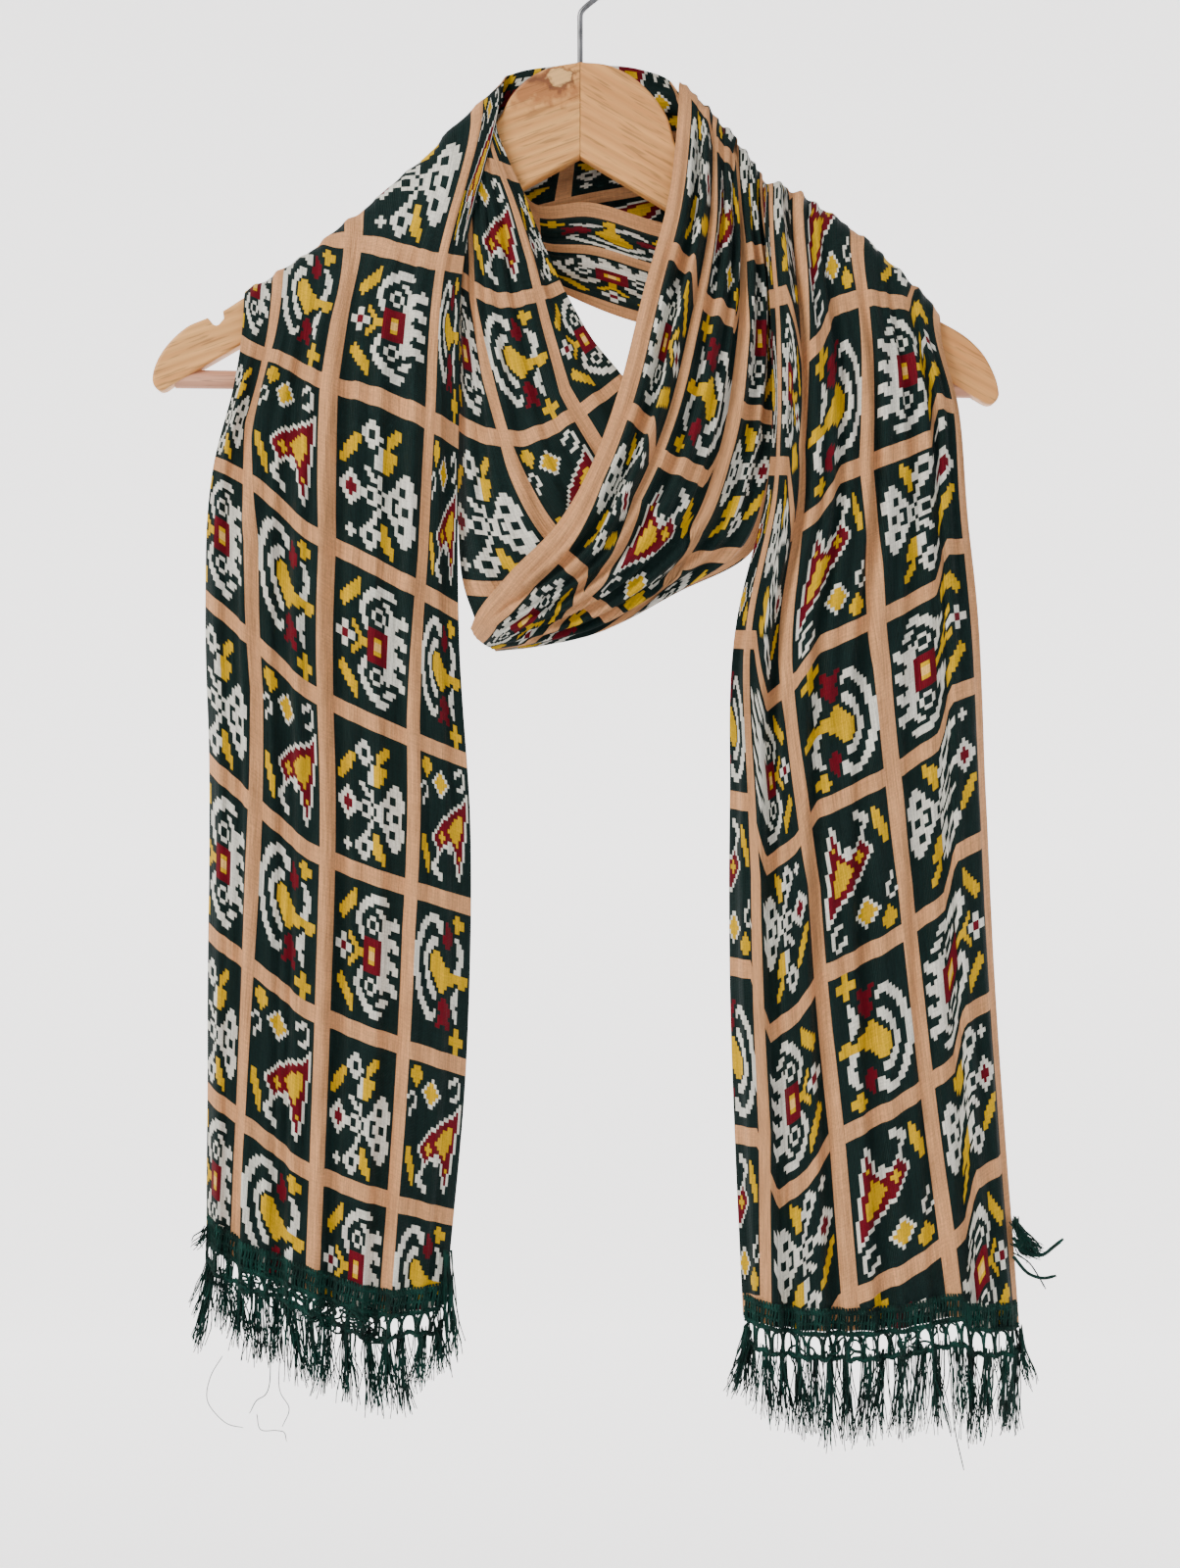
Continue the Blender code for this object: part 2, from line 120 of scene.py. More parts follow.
def addNode(tree, kind, values=None, links=None, **settings):
    node = tree.nodes.new(kind)
    for key, value in settings.items():
        setattr(node, key, value)
    for key, value in (values or {}).items():
        node.inputs[key].default_value = value
    for key, socket in (links or {}).items():
        tree.links.new(socket, node.inputs[key])
    return node


def stretchedNoise(tree, vector, scale, detail, roughness=0.5):
    # Noise read through a Mapping that draws it out along one direction.
    placed = addNode(tree, "ShaderNodeMapping", {"Scale": scale}, {"Vector": vector})
    return addNode(tree, "ShaderNodeTexNoise",
                   {"Scale": 1.0, "Detail": detail, "Roughness": roughness},
                   {"Vector": placed.outputs[0]}).outputs["Fac"]


def spread(tree, value, low, high, fromLow=0.3, fromHigh=0.7):
    return addNode(tree, "ShaderNodeMapRange",
                   {"From Min": fromLow, "From Max": fromHigh, "To Min": low, "To Max": high},
                   {"Value": value}).outputs[0]


def together(tree, first, second, operation="ADD"):
    return addNode(tree, "ShaderNodeMath", links={0: first, 1: second},
                   operation=operation).outputs[0]


def product(tree, *values):
    result = values[0]
    for value in values[1:]:
        result = together(tree, result, value, "MULTIPLY")
    return result


def mixTones(tree, share, first, second):
    node = addNode(tree, "ShaderNodeMix", data_type="RGBA")
    tree.links.new(share, node.inputs[0])
    for index, source in ((6, first), (7, second)):
        if isinstance(source, tuple):
            node.inputs[index].default_value = (*source, 1)
        else:
            tree.links.new(source, node.inputs[index])
    return node.outputs[2]


def shaded(tree, colour, value):
    return addNode(tree, "ShaderNodeHueSaturation", links={"Color": colour, "Value": value}).outputs[0]


def objectPlace(tree):
    return addNode(tree, "ShaderNodeTexCoord").outputs["Object"]


def addBump(tree, shader, height, distance, strength):
    bump = addNode(tree, "ShaderNodeBump", {"Strength": strength, "Distance": distance},
                   {"Height": height})
    tree.links.new(bump.outputs[0], shader.inputs["Normal"])


def clothFinish():
    made, tree, shader = newMaterial("printedCottonSilk", tone(30, 50, 48), {
        "Sheen Weight": 0.03,
        "Sheen Roughness": 0.4,
        "Specular IOR Level": 0.12,
    })
    printed = addNode(tree, "ShaderNodeAttribute", attribute_name="print").outputs["Color"]
    threads = addNode(tree, "ShaderNodeUVMap", uv_map="threads").outputs[0]
    warp = stretchedNoise(tree, threads, (1.3, 0.045, 1), 4)
    weft = stretchedNoise(tree, threads, (0.09, 1.1, 1), 3)
    cloud = stretchedNoise(tree, threads, (0.05, 0.03, 1), 2)
    slub = stretchedNoise(tree, threads, (1.5, 0.8, 1), 2)
    value = product(tree, spread(tree, warp, 0.72, 1.14), spread(tree, weft, 0.88, 1.08),
                    spread(tree, cloud, 0.93, 1.06), spread(tree, slub, 0.87, 1.12))
    tree.links.new(shaded(tree, printed, value), shader.inputs["Base Color"])
    tree.links.new(spread(tree, warp, 0.52, 0.74), shader.inputs["Roughness"])
    weave = product(tree, *[
        addNode(tree, "ShaderNodeTexWave", {"Scale": 0.42, "Distortion": 0.6}, {"Vector": threads},
                bands_direction=direction).outputs["Fac"] for direction in ("X", "Y")
    ])
    crinkle = stretchedNoise(tree, threads, (0.5, 0.03, 1), 5, roughness=0.6)
    height = together(tree, spread(tree, weave, 0, 0.25, 0, 1), crinkle)
    addBump(tree, shader, height, 0.0013, 0.85)
    return made


def threadFinish():
    made, tree, shader = newMaterial("greenThread", tone(16, 66, 56), {
        "Sheen Weight": 0.04,
        "Sheen Roughness": 0.5,
        "Specular IOR Level": 0.15,
    })
    place = objectPlace(tree)
    tuft = stretchedNoise(tree, place, (130, 130, 60), 3)
    fibre = stretchedNoise(tree, place, (1500, 1500, 500), 2)
    colour = mixTones(tree, spread(tree, tuft, 0, 1), tone(3, 24, 22), tone(12, 62, 54))
    tree.links.new(shaded(tree, colour, spread(tree, fibre, 0.75, 1.2)), shader.inputs["Base Color"])
    tree.links.new(spread(tree, fibre, 0.62, 0.85), shader.inputs["Roughness"])
    addBump(tree, shader, fibre, 0.0003, 0.7)
    return made


def woodFinish(name, light, dark, turn, figure=None, gloss=0.42):
    # Grain runs along X once it is turned: long rings, fine fibres and short dark pores.
    made, tree, shader = newMaterial(name, tone(*light), {"Specular IOR Level": 0.45})
    place = objectPlace(tree)
    grain = addNode(tree, "ShaderNodeMapping", {"Rotation": (0, math.radians(turn), 0)},
                    {"Vector": place}).outputs[0]
    rings = stretchedNoise(tree, grain, (5, 30, 95), 2, 0.45)
    fibres = stretchedNoise(tree, grain, (18, 260, 520), 4)
    pores = stretchedNoise(tree, grain, (60, 400, 900), 1)
    drawn = addNode(tree, "ShaderNodeMapping", {"Scale": (1.2, 4.0, 22.0)}, {"Vector": grain}).outputs[0]
    ringLine = addNode(tree, "ShaderNodeTexWave", {
        "Scale": 2.6, "Distortion": 4.0, "Detail": 2.0, "Detail Scale": 0.7,
    }, {"Vector": drawn}, bands_direction="Z").outputs["Fac"]
    share = together(tree, spread(tree, rings, 0, 0.5), spread(tree, ringLine, 0, 0.45, 0, 1))
    colour = mixTones(tree, share, tone(*light), tone(*dark))
    if figure:
        colour = figure(tree, place, colour)
    pore = spread(tree, pores, 1.0, 0.66, 0.58, 0.68)
    value = product(tree, spread(tree, fibres, 0.86, 1.08), pore)
    tree.links.new(shaded(tree, colour, value), shader.inputs["Base Color"])
    tree.links.new(spread(tree, fibres, gloss, gloss + 0.16), shader.inputs["Roughness"])
    addBump(tree, shader, together(tree, fibres, pore), 0.00025, 0.4)
    return made


def distanceTo(tree, place, point, stretch):
    # How far a point of the wood is from one place, in widths that stretch gives.
    moved = addNode(tree, "ShaderNodeVectorMath", {1: point}, {0: place}, operation="SUBTRACT")
    scaled = addNode(tree, "ShaderNodeVectorMath", {1: stretch}, {0: moved.outputs[0]},
                     operation="MULTIPLY")
    wave = stretchedNoise(tree, place, (230, 230, 230), 3)
    length = addNode(tree, "ShaderNodeVectorMath", links={0: scaled.outputs[0]}, operation="LENGTH")
    return together(tree, length.outputs["Value"], spread(tree, wave, -0.35, 0.35))


# A brown flame in the grain under the hook, and a pale chip where the lacquer has gone:
# place, how narrow each way, strength, where it starts to fade, where it ends, screen colour
knotPatches = [
    ((-0.026, 0, -0.091), (34, 5, 88), 0.9, 0.55, 1.1, (172, 108, 58)),
    ((-0.022, 0, -0.0875), (88, 20, 300), 0.85, 0.3, 1.0, (104, 60, 34)),
    ((-0.0108, -0.006, -0.0862), (112, 60, 140), 0.9, 0.8, 1.05, (126, 74, 40)),
    ((-0.0105, -0.006, -0.0855), (150, 60, 190), 1, 0.75, 0.95, (228, 180, 116)),
]


def knotFigure(tree, place, colour):
    for point, stretch, strength, near, far, patchColour in knotPatches:
        away = distanceTo(tree, place, point, stretch)
        colour = mixTones(tree, spread(tree, away, strength, 0, near, far), colour, tone(*patchColour))
    return colour


def steelFinish():
    made, tree, shader = newMaterial("zincedWire", tone(110, 112, 116), {"Metallic": 1.0})
    place = objectPlace(tree)
    scratch = stretchedNoise(tree, place, (900, 900, 120), 4)
    stain = stretchedNoise(tree, place, (150, 150, 90), 2)
    colour = mixTones(tree, spread(tree, stain, 0, 1), tone(128, 130, 134), tone(84, 86, 90))
    tree.links.new(colour, shader.inputs["Base Color"])
    tree.links.new(spread(tree, scratch, 0.22, 0.42), shader.inputs["Roughness"])
    addBump(tree, shader, scratch, 0.0001, 0.3)
    return made


# The print, charted: . ground, w white, y yellow, m maroon, o straw

elephantWithSeat = """
................................
...............ww...............
.......yy......ww......yy.......
......yyyy...wwmmww...yyyy......
.....yyyy....wwmmww....yyyy.....
....yyyy.......ww.......yyyy....
...yyyy.....yy.ww.yy.....yyyy...
..yyyy.......yy..yy.......yyyy..
........ww....yyyy....www.......
......wwwwww...yy...wwwwwww.....
.....www..www..yy..www...www....
....www.....mmmmmmmm......www...
...www..ww..mmmmmmmm..ww...ww...
...ww..w..w.mmyooymm.w..w..www..
..www..w..w.mmyooymm.w..w...ww..
..ww....ww..mmmmmmmm..ww..w.ww..
..ww.w...wwwmmmmmmmmww...ww.ww..
...w.ww.wwwwwwwwwwwwwwwwww..ww..
.....ww..wwwwwwwwwwwwwwww...w...
......w..www.wwww.www.www.......
.........ww...ww...ww..ww.......
........www..www..www..www......
........ww...ww...ww...ww.......
................................
"""

elephantWithChecks = """
................................
............ww....yy............
...........wwww...yyyy..........
...w......wwmmww...yyyy.........
..www....wwmmmmww...yyyy........
...w......wwmmww.....yyyy.......
...........wwww........yy.......
...ww.......ww...........ww.....
..wwww......ww....w.....wwww....
.ww..ww....w..w..ww....ww..ww...
.ww..www...w..w.ww.....ww..ww...
..wwww.www.wwww.w..www..wwww....
....ww...ww.ww.www.wwwww.w......
...yyyyy...w..w....yyyyy........
..yyyyyy...wwww....yyyyyyyy.....
..yyyy....wwwwww....yyyy.yyy....
.yyy.....ww....ww.....yy..yyy...
.......wwww.ww.wwww........yy...
......ww..wwwwww..ww............
.....www..ww..ww..www...........
.....wwwwwww..wwwwwww...........
......wwwwwwwwwwwwww............
........www....www..............
................................
"""

parrot = """
........................
..yyy..............ww...
.yyyyy...........www.w..
.yyyyy....w......w...w..
..yyy...wyyw.........w..
...y...wyyyyw.......ww..
......wyyyyyyw....www...
.ww....wyyyyw.........w.
w..w....wyyw.........ww.
...w.....ww.........wmw.
..ww..............wwmmw.
.w..............wwmmmmw.
.w............wwmmmmmmw.
.............wmmmmyymmw.
...........wwmmmyyyymw..
..........wmmmmyyyyymw..
.........wmmmmyyyyyymw..
........wmmmmyyyyyymmw..
.......wmmymmmyyyyymmw..
......wmmyyymmmyyymmw...
.yy...wmmmymmwwmmymmw...
.yy....wmmmwwwwwmmmmw...
.yyy....wmw..ww.wmmmw...
.yyy....ww......wmymw...
..yyy...w.......wmmw....
..yyy..ww........wmw....
...yy.ww.........wmw....
...yy.www........ww.....
....y..wwww.......w.....
.........ww.............
........................
........................
"""

peacock = """
........................
.................yy.....
......wwww......yyyyy...
....wwwwwwww.m...yyyy...
...www...www.mm..yy.....
..www.....ww.mmm........
..ww........mmmm.ww.....
.www...www..mmmm..ww....
.ww...wwww...mm...www...
www..www..........www...
ww...ww.yyy........ww...
ww..ww.yyyyy......www...
ww..ww.yyyyyy.....ww....
ww..ww.yyyyyyyy..www....
ww...w.yyyyyyyyyyyyyyyy.
ww...ww.yyyyyyyyyyyyyyy.
www..ww..yyyyyyyy..yyy..
.ww...ww..yyyy....w.....
.ww...www..yy....ww.....
.www...www......www.....
..ww....ww..mm..www.....
..www......mmmm.ww......
...www.....mmmmm.ww.....
....www..w..mmmm.ww.....
.....wwwww.mmmm...w.....
......www..mmmmm........
..........mm..mm..yy....
..................yy....
................yyyyyy..
................yyyyyy..
..................yy....
..................yy....
"""

printTones = {
    ".": tone(13, 35, 34),
    "w": tone(236, 236, 226),
    "y": tone(224, 178, 0),
    "m": tone(108, 6, 28),
    "o": tone(250, 200, 110),
    "t": tone(222, 164, 116),
}
stepsAcross, stepsAlong = 29, 36  # chart steps in a cell with its tan bars
barAcross, barAlong = 5, 4  # and in the bars alone, at its side and above it
cellWidth = 0.6  # of a cell opened out, as a share of its height


def chartCodes(text, turned):
    # The chart as whole numbers, upright ones turned so that the feet point across.
    keys = list(printTones)
    codes = np.array([[keys.index(letter) for letter in line] for line in text.split()])
    return np.rot90(codes) if turned else codes


charts = [
    [chartCodes(peacock, False), chartCodes(elephantWithSeat, True)],
    [chartCodes(parrot, False), chartCodes(elephantWithChecks, True)],
]


def printCodes(across, along, cloth):
    # Which tone each chart step has: tan bars round every cell, and its figure inside.
    column, row = np.meshgrid(across + barAcross // 2, along + barAlong // 2)
    x, y = column % stepsAcross - barAcross, row % stepsAlong - barAlong
    figure = (x >= 0) & (y >= 0) & (column >= cloth["plainBelow"] * stepsAcross)
    elephants = (column // stepsAcross + cloth["elephantsIn"] + 1) % 2
    checks = (row // stepsAlong + cloth["checksIn"] + 1) % 2
    if cloth["turned"]:
        x, y = stepsAcross - barAcross - 1 - x, stepsAlong - barAlong - 1 - y
    codes = np.full(column.shape, list(printTones).index("t"))
    for kindAlong in (0, 1):
        for kindAcross in (0, 1):
            chosen = figure & (checks == kindAlong) & (elephants == kindAcross)
            codes[chosen] = charts[kindAlong][kindAcross][y[chosen], x[chosen]]
    return codes


# surfaces of the cloth
arcAngles = (90, 55, 20, -20, -55, -90)  # from behind the arm, over it, to its front
ridges = {
    "leftTail": (((-176, 0, -198), 9.5), ((-117, 0, -158.3), 12.0), ((-42, 1, -88), 9.0)),
    "rightTail": (((96, -1, -141), 15.5), ((142, -1, -165.6), 12.0), ((189, 0, -210.6), 9.5)),
    "leftLoop": (((-62, 0, -125.5), 9.5), ((-53, 0, -113.6), 9.5), ((-44, 0, -100.6), 9.5)),
    "rightLoop": (((52, 3, -87), 4.5), ((78, 3, -114), 12.0), ((98, 3, -141), 12.0)),
}


def unit(vectors):
    return vectors / np.linalg.norm(vectors, axis=-1, keepdims=True)


def runAlong(points):  # how far it is along a path to each of its points
    return np.concatenate([[0], np.cumsum(np.linalg.norm(np.diff(points, axis=0), axis=1))])


def ease(value, low, high):  # a smooth step from 0 at low to 1 at high
    share = np.clip((value - low) / (high - low), 0, 1)
    return share * share * (3 - 2 * share)


def bendRows(ridge):  # sections on half circles, each under its point of the ridge
    rows = []
    for angle in arcAngles:
        turn = math.radians(angle)
        rows.append([(x, y + radius * math.sin(turn), z - radius * (1 - math.cos(turn)))
                     for (x, y, z), radius in ridge])
    return rows


def cubic(start, leave, end, arrive, u):  # from start to end, with the slopes at both
    return (
        start * (2 * u**3 - 3 * u**2 + 1) + leave * (u**3 - 2 * u**2 + u)
        + end * (3 * u**2 - 2 * u**3) + arrive * (u**3 - u**2)
    )


def readSections(rows, share):
    # Smooth cubic curves through the sections, each of three points, read at any shares.
    rows = np.array(rows, float)
    steps = np.linalg.norm(np.diff(rows, axis=0), axis=2).mean(axis=1)
    knots = np.concatenate([[0], np.cumsum(steps)])
    slopes = np.diff(rows, axis=0) / steps[:, None, None]
    tangents = np.concatenate([slopes[:1], slopes, slopes[-1:]])
    before = np.concatenate([steps[:1], steps])[:, None, None]
    after = np.concatenate([steps, steps[-1:]])[:, None, None]
    tangents = (tangents[:-1] * after + tangents[1:] * before) / (before + after)
    place = np.clip(share, 0, 1) * knots[-1]
    index = np.clip(np.searchsorted(knots, place, side="right") - 1, 0, len(steps) - 1)
    step = steps[index][..., None, None]
    u = ((place - knots[index]) / steps[index])[..., None, None]
    return cubic(rows[index], tangents[index] * step, rows[index + 1], tangents[index + 1] * step, u)


def flatPoint(cloth, s, t):
    # Across, a parabola through the three points of the section at t.
    sections = readSections(cloth["rows"], t)
    first, middle, second = (sections[..., k, :] for k in range(3))
    s = s[..., None]
    return first * (1 - s) * (1 - 2 * s) + middle * 4 * s * (1 - s) + second * s * (2 * s - 1)


def outward(cloth, s, t):
    # The surface's normal: the cross product of its slopes along and across.
    near = 0.004
    alongSlope = flatPoint(cloth, s, np.minimum(t + near, 1)) - flatPoint(cloth, s, np.maximum(t - near, 0))
    acrossSlope = flatPoint(cloth, s + near, t) - flatPoint(cloth, s - near, t)
    return unit(np.cross(alongSlope, acrossSlope))


def softNoise(seed, across, along, s, t):
    # Random heights from -1 to 1 on a coarse grid, read smoothly between its points.
    heights = np.random.default_rng(seed).uniform(-1, 1, (along + 2, across + 2))
    x, y = np.clip(s, 0, 1) * across, np.clip(t, 0, 1) * along
    i, j = np.floor(x).astype(int), np.floor(y).astype(int)
    u, v = ease(x - i, 0, 1), ease(y - j, 0, 1)
    return (
        heights[j, i] * (1 - u) * (1 - v) + heights[j, i + 1] * u * (1 - v)
        + heights[j + 1, i] * (1 - u) * v + heights[j + 1, i + 1] * u * v
    )


folds = {
    "pleatHeight": 1.3,  # times the height in a pleat's row
    "steepFlank": 0.5,  # times its half width, on one side
    "gentleFlank": 1.35,  # and on the other
    "overArm": 0.25,  # the share of its height that a pleat has over the arm
    "creaseEnd": 0.07,  # the share of the length in which a crease fades
    "crinkleWidth": 4.3,  # mm
    "rippleWidth": 9,
    "ripple": 0.8,  # as a share of the crinkle
}


def foldHeight(cloth, s, t):
    # Pleats run the whole way, creases only between two places, crinkles everywhere.
    low, high, endLow, endHigh = cloth["grow"]
    overArm = folds["overArm"]
    strength = overArm * ease(t, 0, 0.03) + (1 - overArm) * ease(t, low, high)
    strength = strength * (1 - ease(t, endLow, endHigh))
    height = np.zeros(s.shape)
    for atStart, atEnd, width, depth, side in cloth["pleats"]:
        offset = (s - (atStart + (atEnd - atStart) * t)) / width
        flank = np.where(offset * side > 0, folds["steepFlank"], folds["gentleFlank"])
        height += folds["pleatHeight"] * depth * np.exp(-((offset / flank) ** 2)) * strength
    for startS, startT, endS, endT, halfWidth, depth in cloth["creases"]:
        share = np.clip((t - startT) / (endT - startT), 0, 1)
        offset = (s - (startS + (endS - startS) * share)) * cloth["width"] / halfWidth
        end = folds["creaseEnd"]
        fade = ease(t, startT, startT + end) * (1 - ease(t, endT - end, endT))
        height += depth * np.exp(-(offset**2)) * fade
    settled = ease(t, 0, 0.05)
    columns = round(cloth["width"] / folds["crinkleWidth"])
    crinkle = softNoise(cloth["seed"], columns, cloth["waves"], s, t)
    columns = round(cloth["width"] / folds["rippleWidth"])
    ripple = softNoise(cloth["seed"] + 1, columns, cloth["waves"] // 2, s, t)
    height += settled * (cloth["crinkle"] * crinkle + folds["ripple"] * cloth["crinkle"] * ripple)
    depth, firstFrom, secondFrom = cloth["roll"]
    share = np.where(s < 0.5, ease(t, firstFrom, firstFrom + 0.15), ease(t, secondFrom, secondFrom + 0.15))
    return height - depth * np.abs(2 * s - 1) ** 8 * share


def clothPoint(cloth, s, t):
    # Past the last section the cloth runs straight on.
    inside = np.minimum(t, 1)
    slope = (flatPoint(cloth, s, np.ones(s.shape)) - flatPoint(cloth, s, np.full(s.shape, 0.99))) / 0.01
    onward = slope * (t - inside)[..., None]
    proud = outward(cloth, s, inside) * foldHeight(cloth, s, t)[..., None]
    return flatPoint(cloth, s, inside) + onward + proud


def readTable(table, stations, at, t):
    # Marks across the cloth have their values at stations along it: read in between both ways.
    marks = np.array([mark for mark, row in table])
    values = np.stack([np.interp(t, np.atleast_1d(stations), np.atleast_1d(row)) for mark, row in table])
    index = np.clip(np.searchsorted(marks, at, side="right") - 1, 0, len(marks) - 2)
    part = (at - marks[index]) / (marks[index + 1] - marks[index])
    first = np.take_along_axis(values, index[None], axis=0)[0]
    second = np.take_along_axis(values, index[None] + 1, axis=0)[0]
    return first + (second - first) * part


def lineShare(cloth, cells, t):  # where each chart line lies across the cloth
    return readTable(cloth["lines"], cloth["stations"], np.broadcast_to(cells, t.shape), t)


def middleRun(cloth):  # how far it is down the middle of the cloth at even shares
    t = np.linspace(0, 1, 600)
    return t, runAlong(flatPoint(cloth, np.full(t.shape, 0.5), t))


def hemShare(cloth, s, further=0):  # where the cloth ends at s, as a share of its length
    drop = np.interp(s, *zip(*cloth["hem"])) + further
    return 1 + drop / middleRun(cloth)[1][-1]


def chartGrid(cloth):
    # Lines of the mesh follow the chart's steps, so each face is one step of the print.
    placed = cloth["lines"]
    across = np.arange(round(placed[0][0] * stepsAcross), round(placed[-1][0] * stepsAcross) + 1)
    cells = across / stepsAcross
    end = hemShare(cloth, lineShare(cloth, cells, np.ones(cells.shape)), cloth["underBraid"])
    fine = np.linspace(0, 1, 900)[:, None] * end
    at, run = middleRun(cloth)
    runs = np.interp(fine, at, run) + np.maximum(fine - 1, 0) * run[-1]
    readAt = cloth["shiftReadAt"]
    marked = lineShare(cloth, cells, fine if readAt is None else np.full(fine.shape, readAt))
    shift = readTable(cloth["shift"], cloth["shiftAlong"], marked, fine)
    along = (runs - shift - cloth["phase"]) / cloth["pitch"]
    along = np.maximum.accumulate(along, axis=0)
    steps = np.arange(math.floor(along.min() * stepsAlong), math.ceil(along.max() * stepsAlong) + 1)
    t = np.stack([
        np.interp(steps / stepsAlong, column, shares) for column, shares in zip(along.T, fine.T)
    ], axis=1)
    return across, steps, lineShare(cloth, cells, t), t, end


def clothPiece(name, cloth, finish):
    across, steps, s, t, end = chartGrid(cloth)
    points = clothPoint(cloth, s, t)
    rowCount, columnCount = t.shape
    # Rows past either end fall on it, so their points are taken as one.
    first = np.maximum((t <= 0).sum(axis=0) - 1, 0)
    last = rowCount - np.maximum((t >= end - 1e-9).sum(axis=0), 1)
    rows = np.clip(np.arange(rowCount)[:, None], first, last)
    ids = rows * columnCount + np.arange(columnCount)
    a, b, c, d = ids[:-1, :-1], ids[:-1, 1:], ids[1:, 1:], ids[1:, :-1]
    leftShut, rightShut = a == d, b == c
    kinds = [
        (~leftShut & ~rightShut, (a, b, c, d)),
        (leftShut & ~rightShut, (a, b, c)),
        (rightShut & ~leftShut, (a, b, d)),
    ]
    codes = printCodes(across[:-1], steps[:-1], cloth)
    faceCodes = np.concatenate([codes[chosen] for chosen, corners in kinds])
    chosenCorners = [np.stack(corners, axis=-1)[chosen] for chosen, corners in kinds]
    used = np.unique(np.concatenate([corners.ravel() for corners in chosenCorners]))
    faces = [face for corners in chosenCorners for face in np.searchsorted(used, corners).tolist()]
    sides = np.array([len(face) for face in faces])
    piece = newPiece(name, points.reshape(-1, 3)[used] * mm, faces, finish)
    mesh = piece.data
    loops = np.zeros(len(mesh.loops), int)
    mesh.loops.foreach_get("vertex_index", loops)
    tones = np.array([(*colour, 1.0) for colour in printTones.values()])
    layer = mesh.color_attributes.new("print", "FLOAT_COLOR", "CORNER")
    layer.data.foreach_set("color", np.repeat(tones[faceCodes], sides, axis=0).ravel())
    threads = mesh.uv_layers.new(name="threads")
    flat = np.stack([
        np.broadcast_to(across / stepsAcross * cloth["pitch"] * cellWidth, t.shape),
        np.broadcast_to((steps / stepsAlong * cloth["pitch"])[:, None], t.shape),
    ], axis=-1).reshape(-1, 2)
    threads.data.foreach_set("uv", flat[used][loops].ravel())
    return piece


# What a stretch has unless its own table says otherwise. A shift with one value at each mark
# is the same all the way along, and plainBelow is the first cell across that has a figure.
common = {
    "roll": (0, 1, 1),  # how far the edges roll back, and from which shares of the length on
    "shift": [(0, 0), (1, 0)],
    "shiftAlong": 0,
    "shiftReadAt": None,  # or the share of the length where places across are read for the shift
    "plainBelow": -9,
    "hem": [(0, 0), (1, 0)],  # how far it hangs below its last section, at places across
    "underBraid": 0,  # how far it runs on behind the braid
}
leftTail = {
    **common,
    "rows": [
        *bendRows(ridges["leftTail"]),
        ((-180, -12, -246), (-122, -16, -214), (-60, -18, -181)),
        ((-191, -15, -292), (-127, -21, -277), (-63, -20, -271)),
        ((-196, -17, -359), (-130, -23, -367), (-63, -20, -377)),
        ((-194, -17, -452), (-127, -22, -473), (-57, -19, -483)),
        ((-195, -16, -566), (-129, -21, -587), (-59, -18, -600)),
        ((-196, -15, -692), (-133, -20, -711), (-69, -17, -718)),
    ],
    # where a pleat starts and ends across, its half width, height and steeper side
    "pleats": [
        (0.05, 0.06, 0.03, 3, 1), (0.16, 0.17, 0.035, 5, -1), (0.27, 0.26, 0.03, 3, 1),
        (0.37, 0.36, 0.035, 4.5, -1), (0.47, 0.47, 0.04, 6, 1), (0.58, 0.56, 0.03, 3, -1),
        (0.69, 0.66, 0.035, 4, 1), (0.82, 0.78, 0.035, 5.5, -1), (0.93, 0.9, 0.03, 3, 1),
    ],
    # starts at (across, along), ends at (across, along), half width and height in mm
    "creases": [
        (0.4, 0.1, 0.37, 0.62, 2.6, 2.4), (0.33, 0.52, 0.3, 0.95, 2.4, 2), (0.21, 0.08, 0.2, 0.4, 2.4, 1.8),
        (0.62, 0.15, 0.66, 0.42, 3.5, -1.4), (0.74, 0.28, 0.7, 0.66, 3, 1.3),
        (0.55, 0.48, 0.58, 0.8, 3, 1.2), (0.88, 0.36, 0.84, 0.98, 2.2, 2.2),
        (0.11, 0.46, 0.09, 0.9, 3, 1.6), (0.64, 0.7, 0.61, 0.99, 2.8, 1.4),
        (0.43, 0.76, 0.4, 0.99, 3.2, -1.6), (0.96, 0.12, 0.93, 0.34, 2.4, 1.6),
        (0.51, 0.03, 0.55, 0.2, 4, -1.6), (0.3, 0.02, 0.33, 0.16, 3, 2), (0.79, 0.03, 0.74, 0.18, 4, 1.6),
    ],
    "grow": (0.08, 0.22, 2, 3),
    "roll": (5, 0.3, 0.55),
    "width": 138,
    "waves": 16,
    "crinkle": 0.55,
    "seed": 11,
    # chart lines at whole cells, each placed across at the stations along
    "stations": (0, 0.22, 0.36, 0.5, 0.68, 1),
    "lines": [
        (0.35, (0, 0, 0, 0, 0, 0)), (1, (0.17, 0.11, 0.186, 0.21, 0.18, 0.12)),
        (2, (0.49, 0.447, 0.48, 0.469, 0.463, 0.453)), (3, (0.95, 0.9, 0.87, 0.81, 0.774, 0.752)),
        (3.93, (1, 1, 1, 1, 1, 1)),
    ],
    # how far down the bars lie at marks across, each at its stations along
    "shiftAlong": (0, 0.1, 0.22, 0.3, 0.65, 1),
    "shift": [
        (0, (-59, -59, -59, -59, -24, -24)), (0.2, (-35, -35, -35, -35, -15, -15)),
        (0.4, (-8, -8, -8, -8, -2, -2)), (0.5, (5, 5, 0, 0, 0, 0)), (0.85, (54, 52, 22, 22, 8, 8)),
        (1, (68, 66, 31, 31, 13, 13)),
    ],
    "phase": 37,
    "pitch": 82.3,
    "turned": False,
    "elephantsIn": 0,
    "checksIn": 1,
    "hem": [(0, -8), (0.15, -3), (0.44, 0), (0.73, 6), (0.97, 2), (1, -3)],
    "underBraid": 10.5,
}
